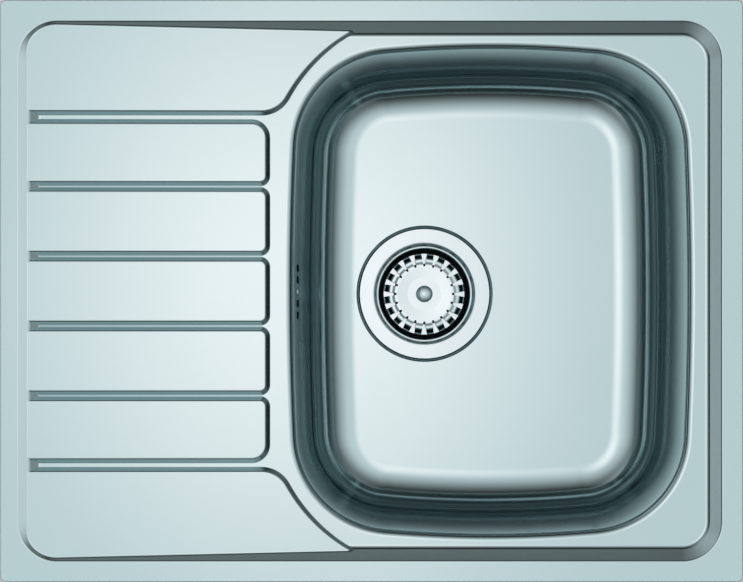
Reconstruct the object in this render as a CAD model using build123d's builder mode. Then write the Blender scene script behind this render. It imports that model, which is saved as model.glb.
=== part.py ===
"""Top-mount kitchen sink: one pressed bowl with a drainer, a basket waste and an overflow.

Millimetres, +Z up. The origin is the centre of the rim outline on the worktop plane.
+X runs from the drainer to the bowl and +Y runs to the rear.
"""

import os
from math import asin, cos, degrees, radians, sin, tan

from build123d import *

os.makedirs("parts", exist_ok=True)

# Sheet and rim
sheet = 0.8
sink_length = 628.0
sink_width = 492.0
rim_corner = 5.0
rim_rise = 4.0
rim_band = 17.6
rim_band_left = 14.8
rim_edge_radius = 1.6

# Pocket pressed into the rim, its floor is the deck around the bowl
pocket_corner = 33.4
pocket_edge_radius = 3.0
deck_drop = 11.4
slope_angle = 45.0
left_slope_angle = 21.0
deck_ledge = 10.75
deck_ledge_right = 16.25

# Bowl, its long sides and ends are bowed outward
bowl_length = 335.5
bowl_corner = 82.0
bowl_bow_end = 7.0
bowl_bow_side = 13.0
bowl_depth = 160.0
bowl_draft = 7.0
bowl_floor_radius = 36.0
bowl_roll_radius = 7.0

# Drainer panels, the channels between them fall towards the bowl
side_panel_width = 49.4
channel_width = 8.0
outer_channel_width = 10.6
end_setback = 53.6
panel_gap = 22.85
panel_corner = 5.0
side_panel_corner = 12.0
panel_side_angle = 51.0
panel_drop = 3.2
panel_fall = 0.79
channel_fall = 1.03
fall_lead = 5.0
shoulder_setback = 3.7
shoulder_radius = 24.1
shoulder_angle = 60.7
hollow_radius = 144.0
tip_angle = 12.0

# Overflow slots in the drainer side of the bowl
slot_pitch = 10.15
slot_width = 6.3
slot_height = 16.0
overflow_drop = 32.0

# Waste recess and hole in the bowl floor
drain_offset = 52.7
recess_radius = 60.0
recess_run = 2.1
recess_drop = 2.5
drain_hole_radius = 45.0

# Strainer cup
cup_sheet = 0.8
flange_radius = 57.2
mouth_radius = 43.4
cup_step = 3.0
cup_step_drop = 14.0
cup_seat_drop = 27.0
seat_radius = 33.0
seat_fall = 8.0
cup_depth = 38.0
cup_bend = 1.8
cup_lip_bend = 2.4
cup_ledge_bend = 1.0
cup_hole_radius = 5.0
cup_hole_circle = 20.0
cup_hole_count = 8

# Waste body under the bowl
gasket_thickness = 1.0
lower_gasket_thickness = 2.5
waste_wall = 3.0
waste_flange_radius = 58.0
waste_flange_height = 4.5
waste_bore_gap = 1.6
waste_drop = 30.0
waste_cone = 16.0
outlet_radius = 23.9
outlet_bore_radius = 20.5
outlet_length = 28.0
boss_radius = 9.0
boss_length = 14.0
boss_gap = 2.0
rib_thickness = 3.0

# Waste screw and its brass insert
screw_radius = 4.0
screw_head_radius = 9.0
screw_head_height = 8.0
screw_socket_radius = 4.8
screw_socket_depth = 6.5
screw_reach = 20.0
insert_radius = 6.2
insert_length = 11.0

# Strainer basket
crown_sheet = 0.9
crown_drop = 13.5
crown_radius = 36.0
crown_shoulder = 26.3
crown_step_run = 2.3
crown_step = 1.0
crown_brow = 31.6
crown_brow_drop = 1.2
crown_dish_radius = 15.0
crown_dish_run = 9.0
crown_dish = 0.4
crown_bend = 2.0
crown_fall = 11.4
crown_slots = 20
crown_slot_start = 25.4
crown_slot_inner = 1.9
crown_slot_outer = 5.6
plate_radius = 36.0
plate_bore_radius = 27.2
plate_sheet = 0.45
seal_radius = 37.2
seal_thickness = 2.2
seal_lip = 2.8
seal_lip_width = 6.0
seal_bevel = 1.0
knob_radius = 7.4
knob_height = 8.6
knob_dome_radius = 12.0
knob_edge_radius = 2.6
knob_neck_radius = 3.2
stem_radius = 3.4
stem_sleeve_radius = 5.5
stem_collar_radius = 7.0
stem_collar = 1.0
stem_ring_radius = 0.55
stem_ring_lift = 2.2

# Overflow housing and pipe behind the bowl wall
overflow_gap = 0.05
overflow_gasket_thickness = 2.0
housing_length = 62.0
housing_height = 34.0
housing_corner = 8.0
housing_wall = 2.2
housing_boss_radius = 6.0
gasket_land = 4.5
pipe_stand_off = 18.0
pipe_radius = 10.0
pipe_wall = 1.6
pipe_bend = 35.0
pipe_entry = 10.0
spigot_radius = 13.0
spigot_length = 17.0
spigot_clearance = 0.25
coupling_seal_length = 4.0
nut_radius = 16.5
nut_skirt = 11.0
nut_floor = 4.0
nut_ribs = 14
nut_rib_radius = 1.1
branch_drop = 21.0
branch_length = 27.0
overflow_screw_radius = 2.5
overflow_screw_head = 4.3
overflow_screw_dome = 3.0
overflow_screw_reach = 14.0
overflow_insert_radius = 4.0
overflow_insert_length = 9.0
overflow_insert_start = 3.0
overflow_drive = 1.1

# Sound pad under the bowl floor
pad_width = 230.0
pad_thickness = 2.5
pad_gap = 9.0
pad_corner = 12.0

# Rim seal
seal_band = 6.0

# Clamps for the worktop
worktop_thickness = 38.0
cutout_overlap = 9.0
clamp_pitch_x = 330.0
clamp_pitch_y = 240.0
anchor_sheet = 1.2
anchor_width = 22.0
anchor_foot = 4.4
anchor_gap = 0.6
anchor_drop = 14.0
anchor_tab = 20.0
clamp_screw_inset = 20.0
clamp_screw_radius = 2.5
clamp_screw_top = 8.0
clamp_head_height = 4.0
clamp_head_radius = 4.6
clamp_washer_radius = 6.2
clamp_washer = 1.2
clamp_slot = 1.2
jaw_sheet = 1.5
jaw_width = 14.0
jaw_reach = 26.0
jaw_heel = 8.0
jaw_height = 7.4
jaw_flange = 5.0
jaw_tip = 4.0
jaw_clearance = 0.6

# Clearances shared by the fits
turn_clearance = 0.3
thread_clearance = 0.1

# Heights and edges that follow from the sizes above
deck_z = rim_rise - deck_drop
floor_z = rim_rise - bowl_depth
rim_under = rim_rise - sheet
side_run = deck_drop / tan(radians(slope_angle))
left_run = deck_drop / tan(radians(left_slope_angle))
pocket_length = sink_length - rim_band - rim_band_left
pocket_width = sink_width - 2 * rim_band
pocket_x = (rim_band_left - rim_band) / 2
deck_length = pocket_length - side_run - left_run
deck_width = pocket_width - 2 * side_run
deck_x = pocket_x + (left_run - side_run) / 2
bowl_width = deck_width - 2 * deck_ledge
bowl_right = deck_x + deck_length / 2 - deck_ledge_right
bowl_left = bowl_right - bowl_length
bowl_x = (bowl_left + bowl_right) / 2
wall_offset = sheet / cos(radians(bowl_draft))
drain_x = bowl_x - drain_offset
drain_axis = Axis((drain_x, 0, 0), (0, 0, 1))
drain_plane = Plane(origin=(drain_x, 0, 0), x_dir=(1, 0, 0), z_dir=(0, -1, 0))

# Void above the deck, less the raised drainer panels
panel_end = bowl_left - panel_gap
far_x = -sink_length / 2
far_y = sink_width / 2
fall_x = panel_end + fall_lead
fall_rise = (fall_x - far_x) * tan(radians(channel_fall))
panel_left = far_x + rim_band_left + panel_drop / tan(radians(left_slope_angle))
panel_slope = tan(radians(panel_fall))
panel_origin = rim_rise - panel_drop + panel_left * panel_slope
panel_plane = Plane(origin=(0, 0, panel_origin), x_dir=(1, 0, -panel_slope), z_dir=(panel_slope, 0, 1))
panel_skirt = deck_drop
panel_grow = panel_skirt / tan(radians(panel_side_angle))
skirt_plane = panel_plane.offset(-panel_skirt)
end_low = bowl_width / 2 - end_setback
side_low = end_low - outer_channel_width - side_panel_width
# Three panels and four channels share the space between the two side panels
panel_width = (2 * side_low - 4 * channel_width) / 3
inner_low = panel_width / 2 + channel_width
panels = [
    (-panel_width / 2, panel_width / 2, panel_corner, panel_corner),
    (inner_low, inner_low + panel_width, panel_corner, panel_corner),
    (-inner_low - panel_width, -inner_low, panel_corner, panel_corner),
    (side_low, side_low + side_panel_width, panel_corner, side_panel_corner),
    (-side_low - side_panel_width, -side_low, side_panel_corner, panel_corner),
]


def panel_outline(plane, low, high, low_corner, high_corner, grow):
    """Draw one drainer panel, grown outward, with its bowl-side corners rounded."""
    with BuildSketch(plane) as outline:
        with Locations((far_x, low - grow)):
            size = (panel_end + grow - far_x, high - low + 2 * grow)
            Rectangle(*size, align=(Align.MIN, Align.MIN))
        bowl_side = outline.vertices().group_by(Axis.X)[-1]
        fillet(bowl_side.sort_by(Axis.Y)[0], low_corner + grow)
        bowl_side = outline.vertices().group_by(Axis.X)[-1]
        fillet(bowl_side.sort_by(Axis.Y)[-1], high_corner + grow)
    return outline.sketch


def end_panel_outline(plane, side, grow):
    """Draw the front or rear panel, which sweeps round the corner of the bowl."""
    low = side * (end_low - grow)
    start = (panel_end - shoulder_setback, low)
    with BuildSketch(plane) as outline:
        with BuildLine():
            Line((far_x, low), start)
            shoulder = JernArc(start, (1, 0), shoulder_radius + grow, side * shoulder_angle)
            sweep_angle = side * (tip_angle - shoulder_angle)
            hollow = JernArc(shoulder @ 1, shoulder % 1, hollow_radius - grow, sweep_angle)
            tip = hollow @ 1
            Polyline(tip, (tip.X, side * far_y), (far_x, side * far_y), (far_x, low))
        make_face()
    return outline.sketch


with BuildPart() as deck_void:
    with BuildSketch(Plane.XY.offset(rim_rise)):
        with Locations((pocket_x, 0)):
            RectangleRounded(pocket_length, pocket_width, pocket_corner)
    with BuildSketch(Plane.XY.offset(deck_z)):
        with Locations((deck_x, 0)):
            RectangleRounded(deck_length, deck_width, pocket_corner - side_run)
    loft(ruled=True)
    with BuildSketch(Plane.XZ):
        Polygon((fall_x, deck_z), (far_x, deck_z + fall_rise), (far_x, deck_z), align=None)
    extrude(amount=far_y, both=True, mode=Mode.SUBTRACT)
    for panel in panels:
        crest = panel_outline(panel_plane, *panel, 0)
        foot = panel_outline(skirt_plane, *panel, panel_grow)
        loft(sections=[crest, foot], ruled=True, mode=Mode.SUBTRACT)
    for side in (1, -1):
        crest = end_panel_outline(panel_plane, side, 0)
        foot = end_panel_outline(skirt_plane, side, panel_grow)
        loft(sections=[crest, foot], ruled=True, mode=Mode.SUBTRACT)

def mouth_outline(grow):
    """Draw the bowl's mouth, grown outward, with four bowed sides and round corners."""
    half_length = bowl_length / 2 + grow
    half_width = bowl_width / 2 + grow
    corner_x = half_length - bowl_bow_end
    corner_y = half_width - bowl_bow_side
    with BuildSketch(Plane(origin=(bowl_x, 0, deck_z))) as outline:
        with BuildLine():
            ThreePointArc((corner_x, -corner_y), (half_length, 0), (corner_x, corner_y))
            ThreePointArc((corner_x, corner_y), (0, half_width), (-corner_x, corner_y))
            ThreePointArc((-corner_x, corner_y), (-half_length, 0), (-corner_x, -corner_y))
            ThreePointArc((-corner_x, -corner_y), (0, -half_width), (corner_x, -corner_y))
        make_face()
        fillet(outline.vertices(), bowl_corner + grow)
    return outline.sketch


hang_down = (Align.CENTER, Align.CENTER, Align.MAX)
stand_up = (Align.CENTER, Align.CENTER, Align.MIN)

with BuildPart() as bowl_void:
    extrude(mouth_outline(0), amount=floor_z - deck_z, taper=bowl_draft)
    fillet(bowl_void.faces().sort_by(Axis.Z)[0].edges(), bowl_floor_radius)
    with Locations((drain_x, 0, floor_z)):
        Cone(recess_radius - recess_run, recess_radius, recess_drop, align=hang_down)

with BuildPart() as bowl_skin:
    extrude(mouth_outline(wall_offset), amount=floor_z - deck_z - sheet, taper=bowl_draft)
    fillet(bowl_skin.faces().sort_by(Axis.Z)[0].edges(), bowl_floor_radius + sheet)
    with Locations((drain_x, 0, floor_z - sheet)):
        skin_radius = recess_radius + sheet
        Cone(skin_radius - recess_run, skin_radius, recess_drop, align=hang_down)

# Overflow stands on the drainer side of the bowl wall, its local +Z points away from the bowl
overflow_z = deck_z - overflow_drop
wall_lean = radians(bowl_draft)
wall_x = bowl_left + overflow_drop * tan(wall_lean) - wall_offset
overflow_plane = Plane(
    origin=(wall_x, 0, overflow_z),
    x_dir=(0, -1, 0),
    z_dir=(-cos(wall_lean), 0, -sin(wall_lean)),
)

# One block ends at the top of the sheet and the other at its underside, the sheet lies between
block_base = floor_z - recess_drop - 2 * rim_rise
with BuildPart() as top_block:
    with BuildSketch():
        RectangleRounded(sink_length, sink_width, rim_corner)
    extrude(amount=rim_rise)
    with BuildSketch():
        Rectangle(pocket_length, pocket_width)
    extrude(amount=block_base)
    add(deck_void.part, mode=Mode.SUBTRACT)
    add(bowl_void.part, mode=Mode.SUBTRACT)
    rim_face = top_block.faces().filter_by(Plane.XY).sort_by(Axis.Z)[-1]
    fillet(rim_face.outer_wire().edges(), rim_edge_radius)
    rim_face = top_block.faces().filter_by(Plane.XY).sort_by(Axis.Z)[-1]
    fillet(rim_face.inner_wires()[0].edges(), pocket_edge_radius)
    level_faces = top_block.faces().filter_by(Plane.XY)
    deck_face = level_faces.filter_by_position(Axis.Z, deck_z - sheet, deck_z + sheet).sort_by(SortBy.AREA)[-1]
    fillet(deck_face.inner_wires()[0].edges(), bowl_roll_radius)

with BuildPart() as under_block:
    with BuildSketch(Plane.XY.offset(rim_under)):
        RectangleRounded(sink_length - 2 * sheet, sink_width - 2 * sheet, rim_corner - sheet)
    extrude(amount=block_base - rim_rise)
    with Locations((0, 0, -sheet)):
        add(deck_void.part, mode=Mode.SUBTRACT)
    add(bowl_skin.part, mode=Mode.SUBTRACT)
    rim_face = under_block.faces().filter_by(Plane.XY).sort_by(Axis.Z)[-1]
    fillet(rim_face.outer_wire().edges(), rim_edge_radius - sheet)
    rim_face = under_block.faces().filter_by(Plane.XY).sort_by(Axis.Z)[-1]
    fillet(rim_face.inner_wires()[0].edges(), pocket_edge_radius - sheet)
    level_faces = under_block.faces().filter_by(Plane.XY)
    deck_face = level_faces.filter_by_position(Axis.Z, deck_z - 2 * sheet, deck_z).sort_by(SortBy.AREA)[-1]
    fillet(deck_face.inner_wires()[0].edges(), bowl_roll_radius - sheet)

with BuildPart() as sink_body:
    add(top_block.part)
    add(under_block.part, mode=Mode.SUBTRACT)
    with Locations((drain_x, 0, floor_z)):
        Cylinder(drain_hole_radius, 4 * recess_drop, mode=Mode.SUBTRACT)
    with BuildSketch(overflow_plane):
        with Locations(*[(step * slot_pitch, 0) for step in (-2, -1, 1, 2)]):
            SlotOverall(slot_height, slot_width, rotation=90)
        Circle(overflow_screw_radius + turn_clearance)
    extrude(amount=2 * sheet, both=True, mode=Mode.SUBTRACT)
sink_body.part.label = "sink_body"
export_step(sink_body.part, "parts/sink_body.step")

# Rim seal lies under the flat rim and meets the worktop
seal_inset = sheet + rim_edge_radius
with BuildPart() as rim_seal:
    with BuildSketch():
        RectangleRounded(sink_length - 2 * seal_inset, sink_width - 2 * seal_inset, rim_corner)
        seal_inner = seal_inset + seal_band
        inner_size = (sink_length - 2 * seal_inner, sink_width - 2 * seal_inner)
        RectangleRounded(*inner_size, rim_corner, mode=Mode.SUBTRACT)
    extrude(amount=rim_under)
rim_seal.part.label = "rim_seal"
export_step(rim_seal.part, "parts/rim_seal.step")

# Clamps, each in a frame whose +X points out over the rim edge
clamp_spots = [
    (-clamp_pitch_x / 2, far_y, 90),
    (clamp_pitch_x / 2, far_y, 90),
    (-far_x, clamp_pitch_y / 2, 0),
    (-far_x, -clamp_pitch_y / 2, 0),
    (clamp_pitch_x / 2, -far_y, -90),
    (-clamp_pitch_x / 2, -far_y, -90),
    (far_x, -clamp_pitch_y / 2, 180),
    (far_x, clamp_pitch_y / 2, 180),
]
clamp_places = [Location((x, y, 0), (0, 0, turn)) for x, y, turn in clamp_spots]
leg_x = -cutout_overlap - anchor_gap
tab_z = -anchor_drop - anchor_sheet
jaw_tip_z = -worktop_thickness - jaw_clearance
jaw_base_z = jaw_tip_z - jaw_height
outer_top = (Align.MAX, Align.MAX)
outer_base = (Align.MAX, Align.MIN)

with BuildPart(mode=Mode.PRIVATE) as anchor:
    with BuildSketch(Plane.XZ):
        with Locations((leg_x, rim_under)):
            Rectangle(anchor_foot, anchor_sheet, align=outer_top)
            Rectangle(anchor_sheet, rim_under - tab_z, align=outer_top)
        with Locations((leg_x, tab_z)):
            Rectangle(anchor_tab, anchor_sheet, align=outer_base)
    extrude(amount=anchor_width / 2, both=True)
    with Locations((-clamp_screw_inset, 0, tab_z)):
        Cylinder(clamp_screw_radius + thread_clearance, anchor_width, mode=Mode.SUBTRACT)

with BuildPart() as clamp_anchors:
    with Locations(*clamp_places):
        add(anchor.part)
clamp_anchors.part.label = "clamp_anchors"
export_step(clamp_anchors.part, "parts/clamp_anchors.step")

with BuildPart(mode=Mode.PRIVATE) as clamp_screw:
    with Locations((-clamp_screw_inset, 0, jaw_base_z)):
        Cylinder(clamp_screw_radius, -clamp_screw_top - jaw_base_z, align=stand_up)
        Cylinder(clamp_washer_radius, clamp_washer, align=hang_down)
    with BuildSketch(Plane.XY.offset(jaw_base_z - clamp_washer)):
        with Locations((-clamp_screw_inset, 0)):
            RegularPolygon(clamp_head_radius, 6)
    extrude(amount=-clamp_head_height)
    with Locations((-clamp_screw_inset, 0, jaw_base_z - clamp_washer - clamp_head_height)):
        Box(clamp_slot, 3 * clamp_head_radius, 2 * clamp_slot, mode=Mode.SUBTRACT)

with BuildPart() as clamp_screws:
    with Locations(*clamp_places):
        add(clamp_screw.part)
clamp_screws.part.label = "clamp_screws"
export_step(clamp_screws.part, "parts/clamp_screws.step")

with BuildPart(mode=Mode.PRIVATE) as jaw:
    with BuildSketch(Plane.XZ):
        Polygon(
            (-jaw_heel, 0),
            (jaw_reach, 0),
            (jaw_reach, jaw_height),
            (jaw_reach - jaw_tip, jaw_height),
            (jaw_reach - 2 * jaw_tip, jaw_flange),
            (-jaw_heel, jaw_flange),
            align=None,
        )
    extrude(amount=jaw_width / 2, both=True)
    with Locations((0, 0, jaw_sheet)):
        Box(4 * jaw_reach, jaw_width - 2 * jaw_sheet, jaw_height, align=stand_up, mode=Mode.SUBTRACT)
    Cylinder(clamp_screw_radius + turn_clearance, jaw_height, mode=Mode.SUBTRACT)

# Each jaw is parked along the rim, a quarter turn about its screw takes it out under the worktop
jaw_park = Location((-clamp_screw_inset, 0, jaw_base_z), (0, 0, -90))
for number, place in enumerate(clamp_places, start=1):
    with BuildPart() as clamp_jaw:
        with Locations(place * jaw_park):
            add(jaw.part)
    clamp_jaw.part.label = f"clamp_jaw_{number}"
    export_step(clamp_jaw.part, f"parts/clamp_jaw_{number}.step")

# Sound pad bonded under the flat of the bowl floor, clear of the waste
floor_inset = (deck_z - floor_z) * tan(wall_lean) + bowl_floor_radius * tan(radians(45 - bowl_draft / 2))
pad_left = drain_x + recess_radius + pad_gap
pad_right = bowl_right - floor_inset - pad_gap
with BuildPart() as sound_pad:
    with BuildSketch(Plane.XY.offset(floor_z - sheet)):
        with Locations(((pad_left + pad_right) / 2, 0)):
            RectangleRounded(pad_right - pad_left, pad_width, pad_corner)
    extrude(amount=-pad_thickness)
sound_pad.part.label = "sound_pad"
export_step(sound_pad.part, "parts/sound_pad.step")

# Strainer cup hangs by its flange in the recess of the bowl floor
recess_z = floor_z - recess_drop
flange_z = recess_z + gasket_thickness
cup_top = flange_z + cup_sheet
step_radius = mouth_radius - cup_step
cup_floor = cup_top - cup_depth
cup_outer = mouth_radius + cup_sheet
gasket_bore = drain_hole_radius + cup_bend
with BuildPart() as strainer_cup:
    with BuildSketch(drain_plane):
        with BuildLine():
            FilletPolyline(
                (flange_radius, cup_top),
                (mouth_radius, cup_top),
                (mouth_radius, cup_top - cup_step_drop),
                (step_radius, cup_top - cup_step_drop),
                (step_radius, cup_top - cup_seat_drop),
                (seat_radius, cup_top - cup_seat_drop - seat_fall),
                (seat_radius - cup_step, cup_floor),
                (0, cup_floor),
                radius=(cup_lip_bend, cup_bend, cup_ledge_bend, cup_bend, cup_bend, cup_bend),
            )
            offset(amount=cup_sheet, side=Side.LEFT)
        make_face()
    revolve(axis=drain_axis)
    with Locations((drain_x, 0, cup_floor)):
        Cylinder(screw_radius + turn_clearance, 4 * cup_sheet, mode=Mode.SUBTRACT)
        with PolarLocations(cup_hole_circle, cup_hole_count):
            Cylinder(cup_hole_radius, 4 * cup_sheet, mode=Mode.SUBTRACT)
strainer_cup.part.label = "strainer_cup"
export_step(strainer_cup.part, "parts/strainer_cup.step")

with BuildPart() as flange_gasket:
    with BuildSketch(Plane((drain_x, 0, recess_z))):
        Circle(flange_radius - cup_bend)
        Circle(gasket_bore, mode=Mode.SUBTRACT)
    extrude(amount=gasket_thickness)
flange_gasket.part.label = "flange_gasket"
export_step(flange_gasket.part, "parts/flange_gasket.step")

with BuildPart() as lower_gasket:
    with BuildSketch(Plane((drain_x, 0, recess_z - sheet))):
        Circle(waste_flange_radius - cup_bend)
        Circle(gasket_bore, mode=Mode.SUBTRACT)
    extrude(amount=-lower_gasket_thickness)
lower_gasket.part.label = "lower_gasket"
export_step(lower_gasket.part, "parts/lower_gasket.step")

# Waste body hangs from the screw in its boss, with a side branch for the overflow
waste_top = recess_z - sheet - lower_gasket_thickness
waste_bore = cup_outer + waste_bore_gap
waste_outer = waste_bore + waste_wall
waste_flange_z = waste_top - waste_flange_height
cone_top = waste_top - waste_drop
cone_base = cone_top - waste_cone
outlet_end = cone_base - outlet_length
boss_top = cup_floor - cup_sheet - boss_gap
boss_base = boss_top - boss_length
branch_z = waste_top - branch_drop
branch_end = drain_x - waste_outer - branch_length
spigot_bore = pipe_radius + spigot_clearance
rib_side = Plane(origin=(drain_x, 0, 0), x_dir=(0, 1, 0), z_dir=(1, 0, 0))
rib_reach = waste_bore - (cone_top - boss_top) * (waste_bore - outlet_bore_radius) / waste_cone
with BuildPart() as waste_body:
    with BuildSketch(drain_plane):
        Polygon(
            (waste_bore, waste_top),
            (waste_flange_radius, waste_top),
            (waste_flange_radius, waste_flange_z),
            (waste_outer, waste_flange_z),
            (waste_outer, cone_top - waste_wall / 2),
            (outlet_radius, cone_base - waste_wall / 2),
            (outlet_radius, outlet_end),
            (outlet_bore_radius, outlet_end),
            (outlet_bore_radius, cone_base),
            (waste_bore, cone_top),
            align=None,
        )
    revolve(axis=drain_axis)
    with BuildSketch(Plane(origin=(branch_end, 0, branch_z), z_dir=(1, 0, 0))):
        Circle(spigot_radius)
    extrude(amount=branch_length + waste_wall / 2)
    with BuildSketch(Plane(origin=(branch_end, 0, branch_z), z_dir=(1, 0, 0))):
        Circle(spigot_bore)
    extrude(amount=branch_length + 2 * waste_wall, mode=Mode.SUBTRACT)
    for plane in (drain_plane, rib_side):
        with BuildSketch(plane):
            Polygon(
                (-rib_reach - waste_wall / 2, boss_top),
                (rib_reach + waste_wall / 2, boss_top),
                (outlet_bore_radius + waste_wall / 2, cone_base),
                (outlet_bore_radius + waste_wall / 2, boss_base),
                (-outlet_bore_radius - waste_wall / 2, boss_base),
                (-outlet_bore_radius - waste_wall / 2, cone_base),
                align=None,
            )
        extrude(amount=rib_thickness / 2, both=True)
    with Locations((drain_x, 0, boss_top)):
        Cylinder(boss_radius, boss_length, align=hang_down)
        Cylinder(insert_radius, insert_length, align=hang_down, mode=Mode.SUBTRACT)
        Cylinder(screw_radius + turn_clearance, 2 * boss_length, align=hang_down, mode=Mode.SUBTRACT)
waste_body.part.label = "waste_body"
export_step(waste_body.part, "parts/waste_body.step")

with BuildPart() as waste_insert:
    with BuildSketch(Plane((drain_x, 0, boss_top))):
        Circle(insert_radius)
        Circle(screw_radius + thread_clearance, mode=Mode.SUBTRACT)
    extrude(amount=-insert_length)
waste_insert.part.label = "waste_insert"
export_step(waste_insert.part, "parts/waste_insert.step")

with BuildPart() as waste_screw:
    with Locations((drain_x, 0, cup_floor)):
        Cylinder(screw_head_radius, screw_head_height, align=stand_up)
        Cylinder(screw_radius, screw_reach, align=hang_down)
    with Locations((drain_x, 0, cup_floor + screw_head_height)):
        Cylinder(screw_socket_radius, screw_socket_depth, align=hang_down, mode=Mode.SUBTRACT)
        Box(3 * screw_head_radius, clamp_slot, 2 * clamp_slot, mode=Mode.SUBTRACT)
waste_screw.part.label = "waste_screw"
export_step(waste_screw.part, "parts/waste_screw.step")

# Strainer basket: slotted crown and plate over a rubber seal on a guide stem
crown_z = cup_top - crown_drop
dish_z = crown_z - crown_dish
seal_top = crown_z - crown_fall - crown_sheet
hub_base = seal_top - seal_thickness
stem_end = cup_floor + screw_head_height - screw_socket_depth + stem_ring_radius
with BuildPart() as basket_crown:
    with BuildSketch(drain_plane):
        with BuildLine():
            FilletPolyline(
                (0, dish_z),
                (crown_dish_radius, dish_z),
                (crown_dish_radius + crown_dish_run, crown_z),
                (crown_shoulder, crown_z),
                (crown_shoulder + crown_step_run, crown_z - crown_step),
                (crown_brow, crown_z - crown_brow_drop),
                (crown_radius, crown_z - crown_fall),
                radius=crown_bend,
            )
            offset(amount=crown_sheet, side=Side.RIGHT)
        make_face()
    revolve(axis=drain_axis)
    with BuildSketch(Plane((drain_x, 0, crown_z + crown_sheet))):
        with PolarLocations(0, crown_slots):
            Polygon(
                (crown_slot_start, -crown_slot_inner / 2),
                (crown_radius + crown_bend, -crown_slot_outer / 2),
                (crown_radius + crown_bend, crown_slot_outer / 2),
                (crown_slot_start, crown_slot_inner / 2),
                align=None,
            )
        with PolarLocations(crown_slot_start, crown_slots):
            Circle(crown_slot_inner / 2)
    extrude(amount=-2 * crown_fall, mode=Mode.SUBTRACT)
basket_crown.part.label = "basket_crown"
export_step(basket_crown.part, "parts/basket_crown.step")

with BuildPart() as basket_plate:
    with BuildSketch(Plane((drain_x, 0, seal_top))):
        Circle(plate_radius)
        Circle(plate_bore_radius, mode=Mode.SUBTRACT)
    extrude(amount=plate_sheet)
basket_plate.part.label = "basket_plate"
export_step(basket_plate.part, "parts/basket_plate.step")

with BuildPart() as basket_seal:
    with BuildSketch(drain_plane):
        lip_base = hub_base - seal_lip
        Polygon(
            (stem_radius + turn_clearance, seal_top),
            (seal_radius - seal_bevel, seal_top),
            (seal_radius, seal_top - seal_bevel),
            (seal_radius, lip_base + seal_bevel),
            (seal_radius - seal_bevel, lip_base),
            (seal_radius - seal_lip_width, lip_base),
            (seal_radius - seal_lip_width - seal_lip, hub_base),
            (stem_radius + turn_clearance, hub_base),
            align=None,
        )
    revolve(axis=drain_axis)
basket_seal.part.label = "basket_seal"
export_step(basket_seal.part, "parts/basket_seal.step")

knob_top = dish_z + knob_height
knob_turn = degrees(asin((knob_radius - knob_edge_radius) / (knob_dome_radius - knob_edge_radius)))
with BuildPart() as basket_knob:
    with Locations((drain_x, 0, dish_z)):
        Cylinder(knob_neck_radius, knob_height - knob_edge_radius, align=stand_up)
    with BuildSketch(drain_plane):
        with BuildLine():
            dome = JernArc((0, knob_top), (1, 0), knob_dome_radius, -knob_turn)
            edge = JernArc(dome @ 1, dome % 1, knob_edge_radius, knob_turn - 180)
            Polyline(edge @ 1, (0, (edge @ 1).Y), (0, knob_top))
        make_face()
    revolve(axis=drain_axis)
basket_knob.part.label = "basket_knob"
export_step(basket_knob.part, "parts/basket_knob.step")

with BuildPart() as basket_stem:
    with Locations((drain_x, 0, dish_z - crown_sheet)):
        Cylinder(stem_sleeve_radius, dish_z - crown_sheet - seal_top, align=hang_down)
        Cylinder(stem_radius, dish_z - crown_sheet - stem_end, align=hang_down)
    with Locations((drain_x, 0, hub_base)):
        Cylinder(stem_collar_radius, stem_collar, align=hang_down)
basket_stem.part.label = "basket_stem"
export_step(basket_stem.part, "parts/basket_stem.step")

with BuildPart() as stem_ring:
    with Locations((drain_x, 0, stem_end + stem_ring_lift)):
        Torus(stem_radius + thread_clearance + stem_ring_radius, stem_ring_radius)
stem_ring.part.label = "stem_ring"
export_step(stem_ring.part, "parts/stem_ring.step")

# Overflow housing on the outside of the bowl wall, clamped by one screw from inside the bowl
pipe_x = wall_x - pipe_stand_off
gasket_out = overflow_gap + overflow_gasket_thickness
housing_back = pipe_stand_off + spigot_radius + housing_wall / 2
spigot_end = overflow_z - housing_height / 2 - spigot_length
with BuildPart() as overflow_gasket:
    with BuildSketch(overflow_plane.offset(overflow_gap)):
        RectangleRounded(housing_length, housing_height, housing_corner)
        window = (housing_length - 2 * gasket_land, housing_height - 2 * gasket_land)
        RectangleRounded(*window, housing_corner - gasket_land, mode=Mode.SUBTRACT)
    extrude(amount=overflow_gasket_thickness)
overflow_gasket.part.label = "overflow_gasket"
export_step(overflow_gasket.part, "parts/overflow_gasket.step")

with BuildPart() as overflow_housing:
    with BuildSketch(overflow_plane.offset(gasket_out)):
        RectangleRounded(housing_length, housing_height, housing_corner)
    extrude(amount=housing_back - gasket_out)
    with Locations((pipe_x, 0, spigot_end)):
        Cylinder(spigot_radius, overflow_z - spigot_end, align=stand_up)
    with BuildSketch(overflow_plane.offset(gasket_out)):
        inside = (housing_length - 2 * housing_wall, housing_height - 2 * housing_wall)
        RectangleRounded(*inside, housing_corner - housing_wall)
    extrude(amount=housing_back - gasket_out - housing_wall, mode=Mode.SUBTRACT)
    with Locations((pipe_x, 0, spigot_end)):
        Cylinder(spigot_bore, overflow_z - spigot_end, align=stand_up, mode=Mode.SUBTRACT)
    with BuildSketch(overflow_plane.offset(overflow_insert_start)):
        Circle(housing_boss_radius)
    extrude(amount=housing_back - overflow_insert_start - housing_wall / 2)
    with BuildSketch(overflow_plane.offset(overflow_insert_start)):
        Circle(overflow_insert_radius)
    extrude(amount=overflow_screw_reach, mode=Mode.SUBTRACT)
overflow_housing.part.label = "overflow_housing"
export_step(overflow_housing.part, "parts/overflow_housing.step")

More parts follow.
